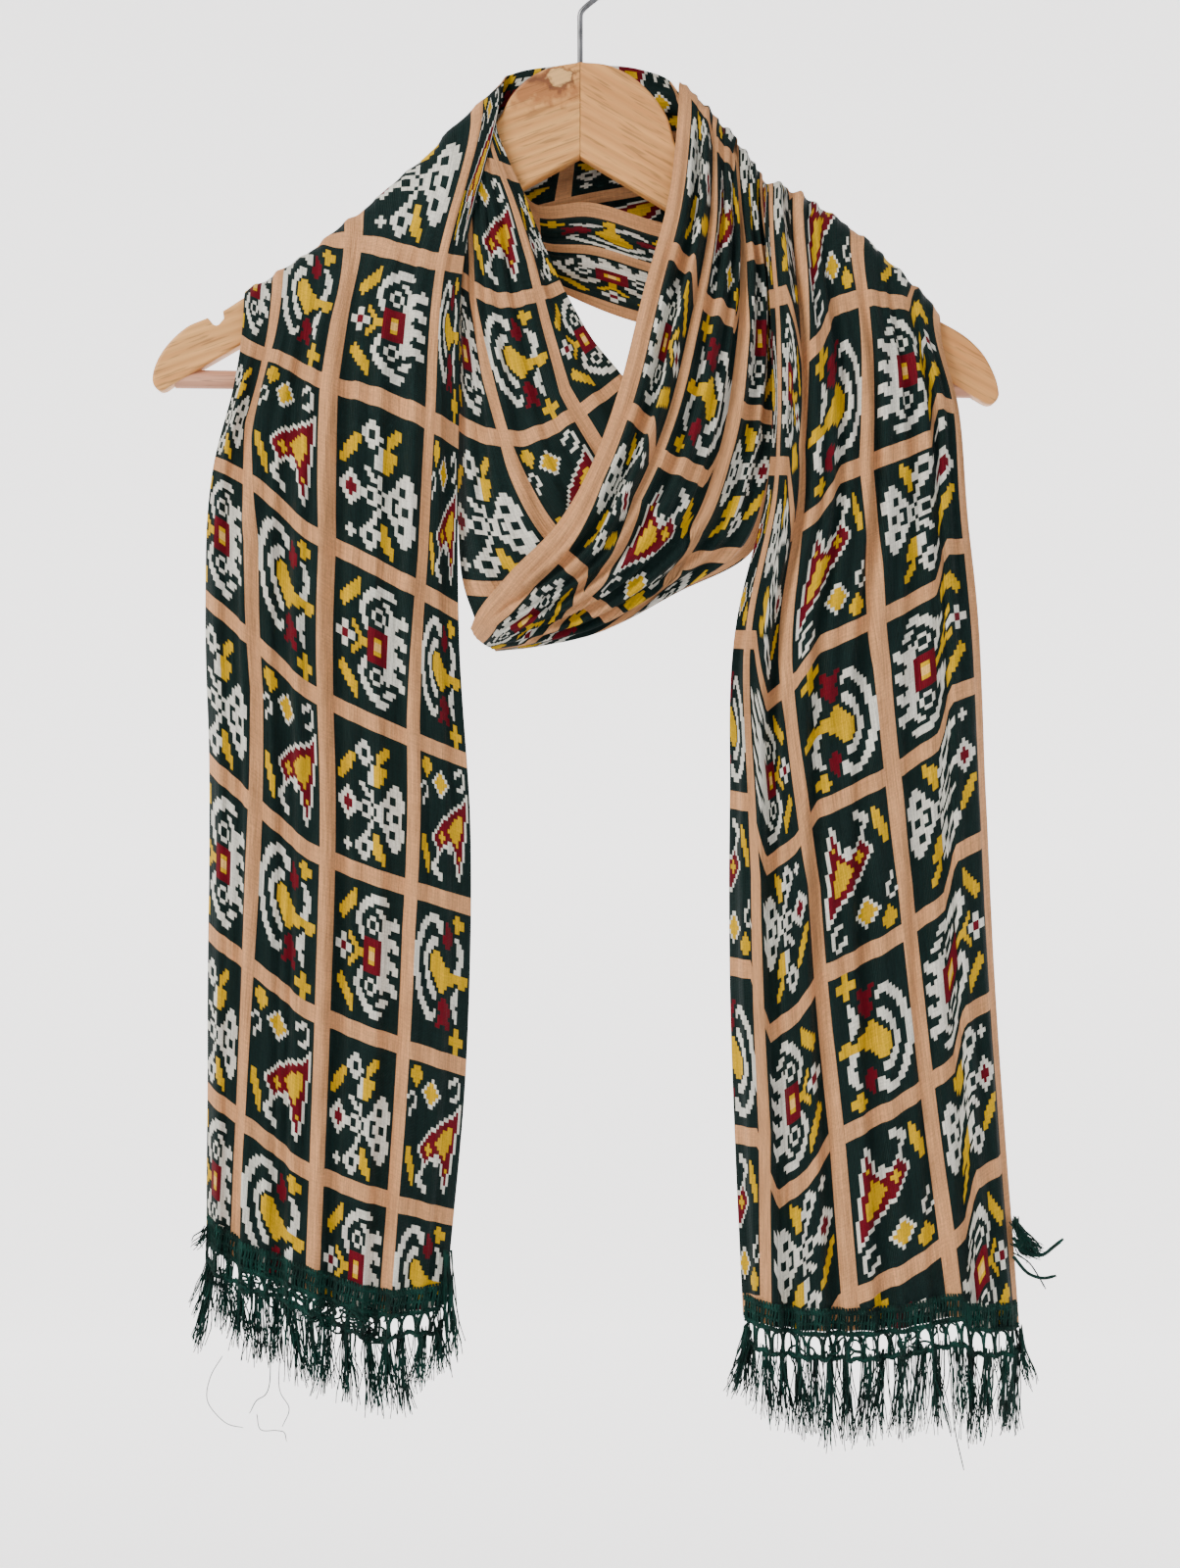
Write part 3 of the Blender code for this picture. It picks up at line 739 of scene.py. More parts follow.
rightTail = {
    **common,
    "rows": [
        *bendRows(ridges["rightTail"]),
        ((99, -31, -226), (149, -24, -240), (198, -14, -262)),
        ((97, -31, -303), (151, -26, -316), (203, -17, -325)),
        ((81, -27, -375), (145, -26, -384), (209, -19, -380)),
        ((78, -21, -463), (145, -25, -474), (213, -18, -462)),
        ((78, -19, -553), (148, -24, -562), (217, -18, -548)),
        ((81, -18, -646), (154, -23, -652), (223, -17, -638)),
        ((85, -17, -734), (159, -22, -737), (230, -16, -729)),
    ],
    "pleats": [
        (0.05, 0.05, 0.028, 3.5, -1), (0.13, 0.12, 0.03, 5.5, 1), (0.21, 0.2, 0.028, 5, -1),
        (0.3, 0.28, 0.03, 5, 1), (0.39, 0.36, 0.028, 4, -1), (0.48, 0.45, 0.03, 4, 1),
        (0.57, 0.55, 0.035, 5, -1), (0.67, 0.65, 0.028, 3, 1), (0.77, 0.76, 0.035, 4, -1),
        (0.87, 0.86, 0.026, 5, -1), (0.95, 0.95, 0.028, 3, 1),
    ],
    "creases": [
        (0.08, 0, 0.1, 0.24, 3, 5), (0.2, 0, 0.18, 0.3, 2.8, 4.6), (0.27, 0.06, 0.22, 0.34, 2.4, 1.8),
        (0.41, 0.04, 0.35, 0.26, 3.2, -1.5), (0.52, 0.02, 0.47, 0.33, 2.6, 1.8),
        (0.72, 0.05, 0.82, 0.28, 2.6, 2.2), (0.83, 0.26, 0.835, 0.96, 1.8, 2.4),
        (0.6, 0.3, 0.63, 0.62, 3, 1.4), (0.45, 0.42, 0.5, 0.78, 3.4, -1.4),
        (0.24, 0.36, 0.26, 0.7, 2.4, 1.8), (0.38, 0.58, 0.43, 0.97, 2.8, 1.7),
        (0.7, 0.62, 0.74, 0.98, 2.6, 1.6), (0.15, 0.55, 0.16, 0.98, 2.4, 1.9),
        (0.92, 0.4, 0.91, 0.75, 2.6, 1.3),
    ],
    "grow": (0.04, 0.2, 2, 3),
    "roll": (5, 0.45, 0.3),
    "width": 135,
    "waves": 17,
    "crinkle": 0.55,
    "seed": 23,
    "stations": (0, 0.1, 0.25, 0.42, 0.61, 0.83, 1),
    "lines": [
        (0.5, (0, 0, 0, 0, 0, 0, 0)), (1, (0.04, 0.03, 0.03, 0.05, 0.1, 0.1, 0.07)),
        (2, (0.18, 0.17, 0.13, 0.19, 0.31, 0.35, 0.37)), (3, (0.52, 0.51, 0.45, 0.58, 0.66, 0.71, 0.755)),
        (4.04, (1, 1, 1, 1, 1, 1, 1)),
    ],
    "shift": [
        (0, 16), (0.08, 14), (0.14, 45), (0.25, 31), (0.34, 11), (0.5, 0), (0.68, -12), (0.81, -22),
        (0.86, -46), (1, -49),
    ],
    "phase": 152,
    "pitch": 85.2,
    "turned": True,
    "elephantsIn": 1,
    "checksIn": 0,
    "hem": [(0, -9), (0.17, -6), (0.5, -7), (0.68, -10), (0.77, -11), (0.8, -4), (1, 0)],
    "underBraid": 10.5,
}
leftLoop = {
    **common,
    "rows": [
        *bendRows(ridges["leftLoop"]),
        ((-63, -11, -165), (-48, -12, -158), (-29, -10, -149)),
        ((-65, -11, -214), (-42, -15, -207), (-14, -11, -186)),
        ((-65, -11, -266), (-32, -18, -256), (5, -13, -222)),
        ((-64, -12, -318), (-22, -22, -297), (25, -17, -248)),
        ((-61, -13, -354), (-10, -23, -326), (35, -20, -266)),
        ((-55, -14, -372), (0, -23, -341), (41, -21, -279)),
    ],
    "pleats": [
        (0.15, 0.12, 0.05, 3, 1), (0.3, 0.26, 0.05, 3, -1), (0.45, 0.4, 0.05, 3.5, 1),
        (0.6, 0.55, 0.05, 3, 1), (0.73, 0.7, 0.045, 3.5, -1), (0.87, 0.86, 0.045, 2.5, 1),
    ],
    "creases": [
        (0.22, 0.15, 0.17, 0.7, 2, 1.2), (0.52, 0.12, 0.46, 0.6, 2, 1.4), (0.8, 0.14, 0.78, 0.55, 2, 1.2),
        (0.37, 0.3, 0.33, 0.95, 2.4, -1), (0.66, 0.38, 0.62, 0.96, 2.4, 1.3),
    ],
    "grow": (0.15, 0.35, 2, 3),
    "width": 80,
    "waves": 9,
    "crinkle": 0.45,
    "seed": 31,
    "stations": (0, 0.4, 0.7, 1),
    "lines": [
        (0.2, (0, 0, 0, 0)), (1, (0.12, 0.2, 0.36, 0.5)), (2, (0.8, 0.86, 0.76, 0.8)), (2.7, (1, 1, 1, 1)),
    ],
    "shift": [(0, -22), (0.5, 0), (1, 16)],
    "phase": 113,
    "pitch": 74,
    "turned": False,
    "elephantsIn": 0,
    "checksIn": 1,
}
rightLoop = {
    **common,
    "rows": [
        *bendRows(ridges["rightLoop"]),
        ((46, -15, -152), (77, -19, -175), (104, -13, -212)),
        ((33, -25, -202), (70, -29, -222), (106, -14, -261)),
        ((19, -33, -257), (58, -36, -277), (102, -16, -302)),
        ((4, -37, -297), (41, -39, -318), (87, -19, -339)),
        ((-12, -37, -324), (21, -38, -344), (51, -22, -358)),
        ((-37, -34, -349), (-11, -34, -366), (9, -23, -379)),
        ((-53, -27, -368), (-40, -27, -378), (-27, -19, -387)),
        ((-57, -18, -376), (-52, -15, -383), (-43, -12, -388)),
    ],
    "pleats": [
        (0.05, 0.08, 0.034, 5, -1), (0.15, 0.17, 0.03, 4, 1), (0.26, 0.28, 0.034, 5.5, -1),
        (0.37, 0.4, 0.03, 4, 1), (0.47, 0.51, 0.034, 5.5, -1), (0.57, 0.61, 0.03, 4, 1),
        (0.68, 0.72, 0.034, 5, -1), (0.8, 0.83, 0.03, 4, -1), (0.91, 0.92, 0.028, 3.5, 1),
    ],
    "creases": [
        (0.13, 0.1, 0.15, 0.7, 2, 1.8), (0.27, 0.06, 0.29, 0.85, 2.2, 1.6), (0.4, 0.12, 0.43, 0.9, 2, 1.8),
        (0.53, 0.05, 0.57, 0.62, 2.2, -1.4), (0.65, 0.14, 0.68, 0.92, 2, 1.6),
        (0.77, 0.04, 0.8, 0.55, 2.2, 1.6), (0.92, 0.08, 0.93, 0.8, 2.2, 1.4),
        (0.03, 0.2, 0.03, 0.9, 1.8, 1.2),
    ],
    "grow": (0.08, 0.25, 0.84, 1),
    "width": 88,
    "waves": 11,
    "crinkle": 0.5,
    "seed": 41,
    # the cells keep their size where the stretch narrows, and run off its lower edge
    "stations": (0, 0.35, 0.65, 0.77, 0.86, 0.95, 1),
    "lines": [
        (-0.18, (0, 0, 0, 0, 0, 0, 0)), (0.1, (0.11, 0.12, 0.13, 0.17, 0.22, 0.36, 0.58)),
        (1, (0.33, 0.36, 0.34, 0.44, 0.58, 0.88, 0.94)), (2, (0.56, 0.66, 0.7, 0.88, 0.94, 0.96, 0.97)),
        (3, (0.9, 0.95, 0.96, 0.975, 0.98, 0.985, 0.99)), (3.14, (1, 1, 1, 1, 1, 1, 1)),
    ],
    "shiftReadAt": 0.5,
    "shift": [(0, 0), (0.27, 4), (0.33, 17), (0.64, 14), (0.7, -28), (1, -48)],
    "phase": 112,
    "pitch": 85,
    "turned": True,
    "elephantsIn": 0,
    "checksIn": 1,
    "plainBelow": 0.1,
}


bandLap = 1.2


def joinRow(name, back):  # where a stretch ends behind its arm, a little farther out
    row = [(x, y + bandLap, z) for x, y, z in bendRows(ridges[name])[0]]
    return row[::-1] if back else row


upperBand = {
    **common,
    "rows": [
        joinRow("leftTail", True),
        ((-36, 19, -78), (-78, 19, -160), (-99, 18, -217)),
        ((-16, 19, -74), (-35, 20, -150), (-58, 20, -209)),
        ((4, 19, -73), (0, 21, -140), (-5, 21, -190)),
        ((30, 19, -75), (38, 20, -132), (45, 20, -182)),
        ((46, 17, -81.5), (63, 19, -125), (82, 18, -170)),
        joinRow("rightLoop", False),
    ],
    "pleats": [
        (0.08, 0.08, 0.05, 2.5, 1), (0.25, 0.24, 0.055, 3.5, -1), (0.42, 0.42, 0.055, 3, 1),
        (0.6, 0.6, 0.055, 3.5, -1), (0.78, 0.8, 0.055, 3, 1),
    ],
    "creases": [
        (0.16, 0.1, 0.18, 0.7, 2.4, 1.6), (0.34, 0.25, 0.32, 0.92, 2.2, 1.4),
        (0.51, 0.06, 0.52, 0.6, 2.6, -1.4), (0.69, 0.3, 0.7, 0.95, 2.4, 1.6),
        (0.9, 0.12, 0.88, 0.66, 2.6, 1.4),
    ],
    "grow": (0, 0.25, 0.8, 1),
    "width": 110,
    "waves": 8,
    "crinkle": 0.5,
    "seed": 53,
    "stations": (0, 1),
    "lines": [(0.2, (0, 0)), (1, (0.2, 0.36)), (2, (0.51, 0.56)), (3, (0.83, 0.9)), (3.4, (1, 1))],
    "phase": 30,
    "pitch": 82,
    "turned": True,
    "elephantsIn": 1,
    "checksIn": 1,
}
lowerBand = {
    **common,
    "rows": [
        joinRow("leftLoop", True),
        ((-36, 10, -128), (-44, 11, -151), (-50, 11, -168)),
        ((-24, 10, -149), (-22, 11, -172), (-19, 11, -191)),
        ((4, 10, -148), (7, 12, -176), (10, 11, -205)),
        ((40, 10, -158), (43, 12, -187), (46, 11, -216)),
        ((79, 10, -166), (92, 11, -195), (108, 11, -226)),
        joinRow("rightTail", False),
    ],
    "pleats": [
        (0.14, 0.12, 0.06, 2, 1), (0.34, 0.32, 0.06, 2.5, -1), (0.54, 0.52, 0.06, 2.5, 1),
        (0.76, 0.76, 0.06, 2.5, -1),
    ],
    "creases": [
        (0.24, 0.1, 0.24, 0.9, 1.8, 1.2), (0.44, 0.2, 0.42, 0.8, 1.6, -1), (0.65, 0.15, 0.66, 0.85, 1.8, 1),
    ],
    "grow": (0, 0.25, 0.8, 1),
    "width": 58,
    "waves": 8,
    "crinkle": 0.4,
    "seed": 61,
    "stations": (0, 1),
    "lines": [(-0.12, (0, 0)), (0.12, (0.16, 0.16)), (1, (0.46, 0.42)), (2, (0.97, 0.9)), (2.1, (1, 1))],
    "phase": 58,
    "pitch": 82,
    "turned": True,
    "elephantsIn": 1,
    "checksIn": 1,
    "plainBelow": 0.1,
}
# name, its stretch, the node it stands for, what it hangs from, the cut of what shows
stretches = [
    ("stoleLeftTail", leftTail, "left_tail", "hangerLeftHalf", (0.16, 0.62)),
    ("stoleRightTail", rightTail, "right_tail", "hangerRightHalf", (0.16, 0.63)),
    ("stoleLeftLoop", leftLoop, "left_loop", "hangerLeftHalf", (0.08, 0.27)),
    ("stoleRightLoop", rightLoop, "right_loop", "hangerRightHalf", (0.095, 0.35)),
    ("stoleUpperBand", upperBand, "upper_neck_band", "hangerLeftHalf", (0.11, 0.21)),
    ("stoleLowerBand", lowerBand, "lower_neck_band", "hangerLeftHalf", (0.065, 0.23)),
]
clothWall = 0.7


def makeCloth(finish):
    for name, cloth, node, carrier, cut in stretches:
        piece = clothPiece(name, cloth, finish)
        wall = piece.modifiers.new("wall", "SOLIDIFY")
        wall.thickness = clothWall * mm
        wall.offset = 0
        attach(piece, "root")
        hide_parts(node)
        print("cloth", name, len(piece.data.polygons), "chart steps")


# braid and fringe
def tubes(paths, radii, sides):
    # A ring of points round each place of each path, joined ring to ring and capped.
    slope = unit(np.gradient(paths, axis=1))
    aside = unit(np.cross(slope, np.array([0.03, 1, 0.05])))  # a direction that no path runs in
    upright = np.cross(slope, aside)
    turn = np.arange(sides) * 2 * math.pi / sides
    ring = aside[:, :, None] * np.cos(turn)[:, None] + upright[:, :, None] * np.sin(turn)[:, None]
    points = paths[:, :, None] + ring * radii[:, :, None, None]
    count, places = paths.shape[:2]
    start = np.arange(count)[:, None] * places * sides
    quads = (start[..., None] + ringQuads(places, sides)[:, [0, 3, 2, 1]]).reshape(-1, 4)
    firstCaps = start + np.arange(sides)[::-1]
    lastCaps = start + (places - 1) * sides + np.arange(sides)
    return points.reshape(-1, 3), [*quads.tolist(), *firstCaps.tolist(), *lastCaps.tolist()]


def hemFrame(cloth):
    # The hem as points in even steps, with the directions down the cloth and outwards.
    s = np.linspace(0, 1, 400)
    hem = clothPoint(cloth, s, hemShare(cloth, s))
    last = np.ones(s.shape)
    down = unit(flatPoint(cloth, s, last) - flatPoint(cloth, s, last - 0.01))
    run = runAlong(hem)
    return {"run": run, "hem": hem, "down": down, "out": outward(cloth, s, last), "length": run[-1]}


def trimPoint(edge, along, below, proud):
    # A place on the trim: so far along the hem, so far below it and so far in front.
    def read(table):
        return np.stack([np.interp(along, edge["run"], table[:, k]) for k in range(3)], axis=-1)
    return read(edge["hem"]) + read(edge["down"]) * below[..., None] + read(edge["out"]) * proud[..., None]


leftFringe = {
    "stitch": 3.4,
    "braidHeight": 11.5,
    "archWidth": 9.5,
    "cordDrop": 23.0,
    # curls among the arches: how many, from and to along the hem, from and to below it
    "tangles": 130,
    "tangled": (34, 126, 11, 25),
    "tassels": 14,
    "threads": 32,
    # how long the tassels are from the cord down, at places along the hem
    "lengths": [(0, 32), (0.15, 38), (0.45, 40), (0.7, 46), (0.82, 46), (0.92, 27), (1, 30)],
    "flare": 4.0,
    "mess": 2.2,
    "seed": 5,
}
rightFringe = {
    "stitch": 3.5,
    "braidHeight": 11.5,
    "archWidth": 9.0,
    "cordDrop": 24.5,
    "tangles": 26,
    "tangled": (34, 140, 14, 23),
    "tassels": 17,
    "threads": 28,
    "lengths": [(0, 24), (0.1, 42), (0.2, 48), (0.5, 47), (0.8, 48), (1, 46)],
    "flare": 3.8,
    "mess": 0.8,
    "seed": 9,
}


threadRadius = {
    "stitch": 0.62, "cord": 1.05, "arch": 0.6, "curl": 0.6, "tassel": 0.34, "loose": 0.44, "side": 0.38,
}
trim = {
    "cordTwist": 5.2,  # mm along the cord for one turn
    "looseThreads": 46,
    "threadPlaces": 10,  # points down a hanging thread
    "strayPlaces": 26,
    "thinEnd": 0.75,  # of a thread's radius
}


def braidPaths(edge, size, chance):
    # Three plaited chains with stitches over them, then open arches on a lower cord.
    length, height = edge["length"], size["braidHeight"]
    groups = []
    along = np.linspace(0.5, length - 0.5, int(length / 0.9))
    # how far each chain is below the hem, how far it swings, its thread's radius
    for level, swing, radius in ((0.6, 0.9, 0.75), (height * 0.52, 0.7, 0.6), (height, 1.0, 0.8)):
        for phase in (0, math.pi):
            beat = along * 2 * math.pi / size["stitch"] + phase
            wave = trimPoint(edge, along, level + swing * np.sin(beat), 0.9 + 0.7 * np.cos(beat))
            groups.append((wave[None], radius, 5))
    q = np.linspace(0, 1, 8)
    starts = np.arange(1.2, length - 1.2, size["stitch"] / 2)
    lean = chance.uniform(-0.8, 0.8, (len(starts), 1))
    stitchAlong = starts[:, None] + lean * q + 0.5 * np.sin(q * math.pi * 2)
    below = -2.0 + (height + 2.6) * q + np.zeros_like(stitchAlong)
    proud = 0.5 + 0.9 * np.sin(q * math.pi) + chance.uniform(0, 0.5, (len(starts), 1))
    groups.append((trimPoint(edge, stitchAlong, below, proud), threadRadius["stitch"], 5))
    cordAlong = np.linspace(0.3, length - 0.3, int(length / 1.6))
    sag = chance.uniform(-1, 1, 14) * size["mess"]
    dip = size["cordDrop"] + np.interp(cordAlong, np.linspace(0, length, 14), sag)
    dip += 0.8 * np.sin(cordAlong * 2 * math.pi / size["archWidth"] + 1)
    for phase in (0, math.pi):
        beat = cordAlong * 2 * math.pi / trim["cordTwist"] + phase
        cord = trimPoint(edge, cordAlong, dip + 0.6 * np.sin(beat), 0.4 + 0.7 * np.cos(beat))
        groups.append((cord[None], threadRadius["cord"], 6))
    q = np.linspace(0, 1, 15)
    feet = np.arange(0.5, length - size["archWidth"] * 0.7, size["archWidth"])
    feet += chance.uniform(-1, 1, len(feet))
    for strand in (-1.0, 0.0, 1.0):
        width = size["archWidth"] * (1 + 0.12 * strand) + chance.uniform(-0.8, 0.8, (len(feet), 1))
        archAlong = feet[:, None] - 0.6 * strand + width * (0.5 - 0.5 * np.cos(q * math.pi))
        archAlong += chance.uniform(-1, 1, (len(feet), 1)) * size["mess"] * np.sin(q * math.pi)
        rise = (size["cordDrop"] - height - 0.4 - strand * 0.7) * np.sin(q * math.pi) ** 0.7
        proud = 0.6 + 0.8 * np.sin(q * math.pi * 2 + strand) + chance.uniform(-0.4, 0.4, (len(feet), 1))
        arches = trimPoint(edge, np.clip(archAlong, 0.3, length - 0.3),
                           size["cordDrop"] - rise + np.zeros_like(archAlong), proud)
        groups.append((arches, threadRadius["arch"], 5))
    return groups


def tanglePaths(edge, size, chance):
    # Loose curls of the same cord, caught among the arches.
    count = size["tangles"]
    low, high, top, bottom = size["tangled"]
    q = np.linspace(0, 1, 16)
    start = chance.uniform(0, 2 * math.pi, (count, 1))
    turn = start + chance.uniform(1.5, 5.5, (count, 1)) * q * chance.choice([-1, 1], (count, 1))
    reach = chance.uniform(2.0, 5.5, (count, 1))
    along = chance.uniform(low, high, (count, 1)) + reach * np.cos(turn) + chance.normal(0, 4, (count, 1)) * q
    below = chance.uniform(top, bottom, (count, 1)) + 0.7 * reach * np.sin(turn)
    proud = chance.uniform(-1.0, 2.4, (count, 1)) + 0.8 * np.sin(turn * 1.3)
    curls = trimPoint(edge, np.clip(along, 0.5, edge["length"] - 0.5), below, proud)
    return [(curls, threadRadius["curl"], 4)]


def hangingThreads(roots, lengths, drift, wave, chance):
    # Each thread falls from its root, drifts aside and waves more towards its end.
    q = np.linspace(0, 1, trim["threadPlaces"])
    count = len(roots)
    beat = chance.uniform(5, 11, (count, 1)) * q + chance.uniform(0, 6.28, (count, 1))
    x = roots[:, :1] + drift[:, :1] * q**1.3 + wave * np.sin(beat) * q
    y = roots[:, 1:2] + drift[:, 1:] * q**1.3 + 0.7 * wave * np.cos(beat * 1.1) * q
    z = roots[:, 2:] - lengths[:, None] * q
    return np.stack([x, y, z], axis=-1)


def tasselPaths(edge, size, chance):
    # Threads hang in bunches from the lower cord, closed at the root and flared below.
    length, count = edge["length"], size["threads"]
    centres = np.linspace(4, length - 4, size["tassels"]) + chance.uniform(-2, 2, size["tassels"])
    along = (centres[:, None] + chance.normal(0, 2.1, (size["tassels"], count))).ravel()
    along = np.clip(along, 0.5, length - 0.5)
    below = size["cordDrop"] + chance.uniform(-4, 1, along.shape)
    roots = trimPoint(edge, along, below, chance.uniform(-0.8, 1.2, along.shape))
    bunch = np.repeat(chance.uniform(0.86, 1.06, size["tassels"]), count)
    lengths = np.interp(along / length, *zip(*size["lengths"])) * bunch
    lengths *= 1 - np.abs(chance.normal(0, 0.16, along.shape)).clip(0, 0.6)
    drift = np.stack([
        np.repeat(chance.normal(0, 2.5, size["tassels"]), count)
        + chance.normal(0, size["flare"], along.shape),
        chance.normal(0, 2.6, along.shape),
    ], axis=1)
    loose = trim["looseThreads"]
    looseAlong = chance.uniform(1, length - 1, loose)
    looseRoots = trimPoint(edge, looseAlong, np.full(loose, size["braidHeight"]), np.zeros(loose))
    looseDrift = np.stack([chance.normal(0, 4, loose), chance.normal(0, 2, loose)], axis=1)
    bunched = hangingThreads(roots, lengths, drift, 0.8, chance)
    strewn = hangingThreads(looseRoots, chance.uniform(18, 44, loose), looseDrift, 1.2, chance)
    return [(bunched, threadRadius["tassel"], 3), (strewn, threadRadius["loose"], 3)]


def smoothPath(points):
    # A curve through a few points: the same cubic steps as the cloth's sections.
    rows = np.repeat(np.array(points, float)[:, None], 3, axis=1)
    return readSections(rows, np.linspace(0, 1, trim["strayPlaces"]))[:, 0]


strayThreads = {  # each a thread's radius and the places it runs through
    "leftFringe": [
        (0.22, [(-186.6, -16, -756), (-192.9, -16, -767), (-194.4, -17, -778.6), (-189.3, -15, -787.3),
                (-183.7, -16, -791.5), (-176, -15, -793.5)]),
        (0.26, [(-161, -16, -755), (-165.3, -17, -777), (-168, -16, -778.5), (-172.4, -16, -785.8)]),
        (0.22, [(-168.8, -15, -786.5), (-166.7, -16, -794.3), (-158.2, -15, -795.1),
                (-154.6, -16, -795.6), (-153.2, -15, -800.8)]),
        (0.22, [(-156.8, -16, -757), (-156.1, -15, -776), (-151.8, -16, -783), (-155.4, -15, -793)]),
    ],
    "rightFringe": [
        (0.30, [(194, -16, -780), (196, -17, -797), (198.5, -16, -808), (200.4, -15, -815.8)]),
        (1.0, [(226, -16, -694), (233, -17, -702), (241, -17, -703), (247, -16, -699), (252.3, -15, -695)]),
        (0.9, [(226, -16, -704), (235, -16, -713.5), (242, -15, -715.5), (248.5, -16, -714)]),
        (0.45, [(226, -16, -686), (230, -17, -689), (236, -16, -694), (241, -16, -700)]),
        (0.45, [(226, -16, -698), (231, -17, -696), (237, -15, -698), (240, -16, -704)]),
        (0.40, [(226, -16, -702), (234, -16, -707), (239, -15, -714), (243, -16, -721)]),
    ],
}
sideTassels = {  # where each starts, how many threads, their length, and which way they lean
    "leftFringe": [((-195, -15, -690), 14, 9, (-5, -2)), ((-69, -17, -702), 34, 56, (3, 0)),
                   ((-192, -16, -712), 26, 44, (-8, 1))],
    "rightFringe": [((226.5, -16, -685), 36, 15, (8, 1)), ((230, -16, -691), 44, 12, (7, 0)),
                    ((227.5, -16, -697), 26, 8, (9, 0)),
                    ((87, -17, -740), 28, 38, (-8, 0)), ((230, -15, -742), 16, 34, (5, 1))],
}


def makeFringe(name, cloth, size, finish, node):
    chance = np.random.default_rng(size["seed"])
    edge = hemFrame(cloth)
    groups = braidPaths(edge, size, chance) + tanglePaths(edge, size, chance)
    groups += tasselPaths(edge, size, chance)
    for (x, y, z), count, reach, (aside, front) in sideTassels[name]:
        roots = np.array([x, y, z]) + chance.normal(0, 1.1, (count, 3))
        drift = np.array([aside, front]) + chance.normal(0, 2.4, (count, 2))
        lengths = chance.uniform(0.7, 1, count) * reach
        groups.append((hangingThreads(roots, lengths, drift, 1.2, chance), threadRadius["side"], 3))
    for radius, points in strayThreads[name]:
        groups.append((smoothPath(points)[None], radius, 4))
    points, faces, start = [], [], 0
    for paths, radius, sides in groups:
        radii = np.full(paths.shape[:2], radius)
        radii[:, -2:] *= trim["thinEnd"]
        tubePoints, tubeFaces = tubes(paths, radii, sides)
        points.append(tubePoints)
        faces.extend([start + corner for corner in face] for face in tubeFaces)
        start += len(tubePoints)
    piece = newPiece(name, np.concatenate(points) * mm, faces, finish)
    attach(piece, "root")
    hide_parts(node)
    print("fringe", name, len(faces), "faces")
    return piece


# hanger
hook = {
    "crookRadius": 20.0,
    "wireRadius": 1.5,
    "tipRadius": 1.0,  # its rim is filed round
    "neckDrop": 16.0,
    "stem": (-62.0, -80.0, -98.0),  # heights down into the wood
}


def hookRoute():
    # An arc over the rail, a swing back to the middle, then straight down into the wood.
    radius = hook["crookRadius"] + hook["wireRadius"]
    turn = np.radians(np.linspace(205, -50, 60))
    arc = np.stack([radius * np.cos(turn), radius * np.sin(turn) - hook["crookRadius"]], axis=1)
    share = np.linspace(0, 1, 14)[1:]
    swing = ease(share, 0, 1)
    neck = np.stack([arc[-1, 0] * (1 - swing), arc[-1, 1] - hook["neckDrop"] * share], axis=1)
    flat = np.concatenate([arc, neck, [(0, height) for height in hook["stem"]]])
    return np.stack([flat[:, 0], np.zeros(len(flat)), flat[:, 1]], axis=1)


def makeHook(finish):
    route = hookRoute()[None]
    radii = np.full(route.shape[:2], hook["wireRadius"])
    radii[:, 0] = hook["tipRadius"]
    points, faces = tubes(route, radii, 20)
    piece = newPiece("wireHook", points * mm, faces, finish)
    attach(piece, "root")
    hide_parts("hanger_hook")
    print("hook made")


# x, z and whether the edge runs smoothly through the point
plates = {
    "hangerLeftHalf": {
        "outline": [(-0.15, -127.6, 0), (-0.15, -78.0, 0), (-16.5, -81.1, 1), (-27.5, -86.8, 1),
                    (-36.2, -95.6, 1), (-42.0, -106.5, 1), (-55.0, -124.0, 1), (-76.0, -145.0, 1),
                    (-125.0, -176.0, 1), (-172.0, -199.2, 1), (-187.7, -209.0, 0), (-187.2, -213.0, 0),
                    (-191.3, -216.5, 1), (-195.7, -212.5, 0), (-207.3, -217.6, 1), (-219.5, -230.0, 1),
                    (-224.9, -244.0, 1), (-221.0, -250.7, 1), (-213.0, -246.8, 0), (-179.4, -227.4, 0)],
        "node": "hanger_left",
    },
    "hangerRightHalf": {
        "outline": [(0.15, -127.6, 0), (43.9, -154.0, 0), (189.2, -242.4, 0), (207.3, -254.3, 0),
                    (216.0, -257.9, 1), (220.2, -252.0, 1), (214.0, -234.7, 1), (203.5, -223.0, 1),
                    (189.0, -214.2, 1), (133.0, -182.0, 1), (76.0, -146.0, 1), (53.0, -126.0, 1),
                    (45.5, -106.4, 1), (37.2, -94.5, 1), (26.9, -85.4, 1), (14.5, -79.6, 1),
                    (0.15, -78.0, 0)],
        "node": "hanger_right",
    },
}
plateSize = {"thickness": 12.0, "edgeRadius": 1.6, "seam": 0.2, "notch": (-191, -212.5), "curveSteps": 6}


def outlinePath(points):
    # Cubic curves from point to point; a corner leaves and arrives straight.
    place = np.array([(x, z) for x, z, smooth in points])
    smooth = np.array([point[2] for point in points])[:, None] == 1
    after, before = np.roll(place, -1, axis=0), np.roll(place, 1, axis=0)
    chord = after - place
    length = np.linalg.norm(chord, axis=1, keepdims=True)
    through = unit(after - before)
    leave = np.where(smooth, through * length, chord)
    arrive = np.where(np.roll(smooth, -1, axis=0), np.roll(through, -1, axis=0) * length, chord)
    steps = plateSize["curveSteps"]
    curve = cubic(place, leave, after, arrive, np.arange(steps)[:, None, None] / steps)
    return curve.transpose(1, 0, 2).reshape(-1, 2)


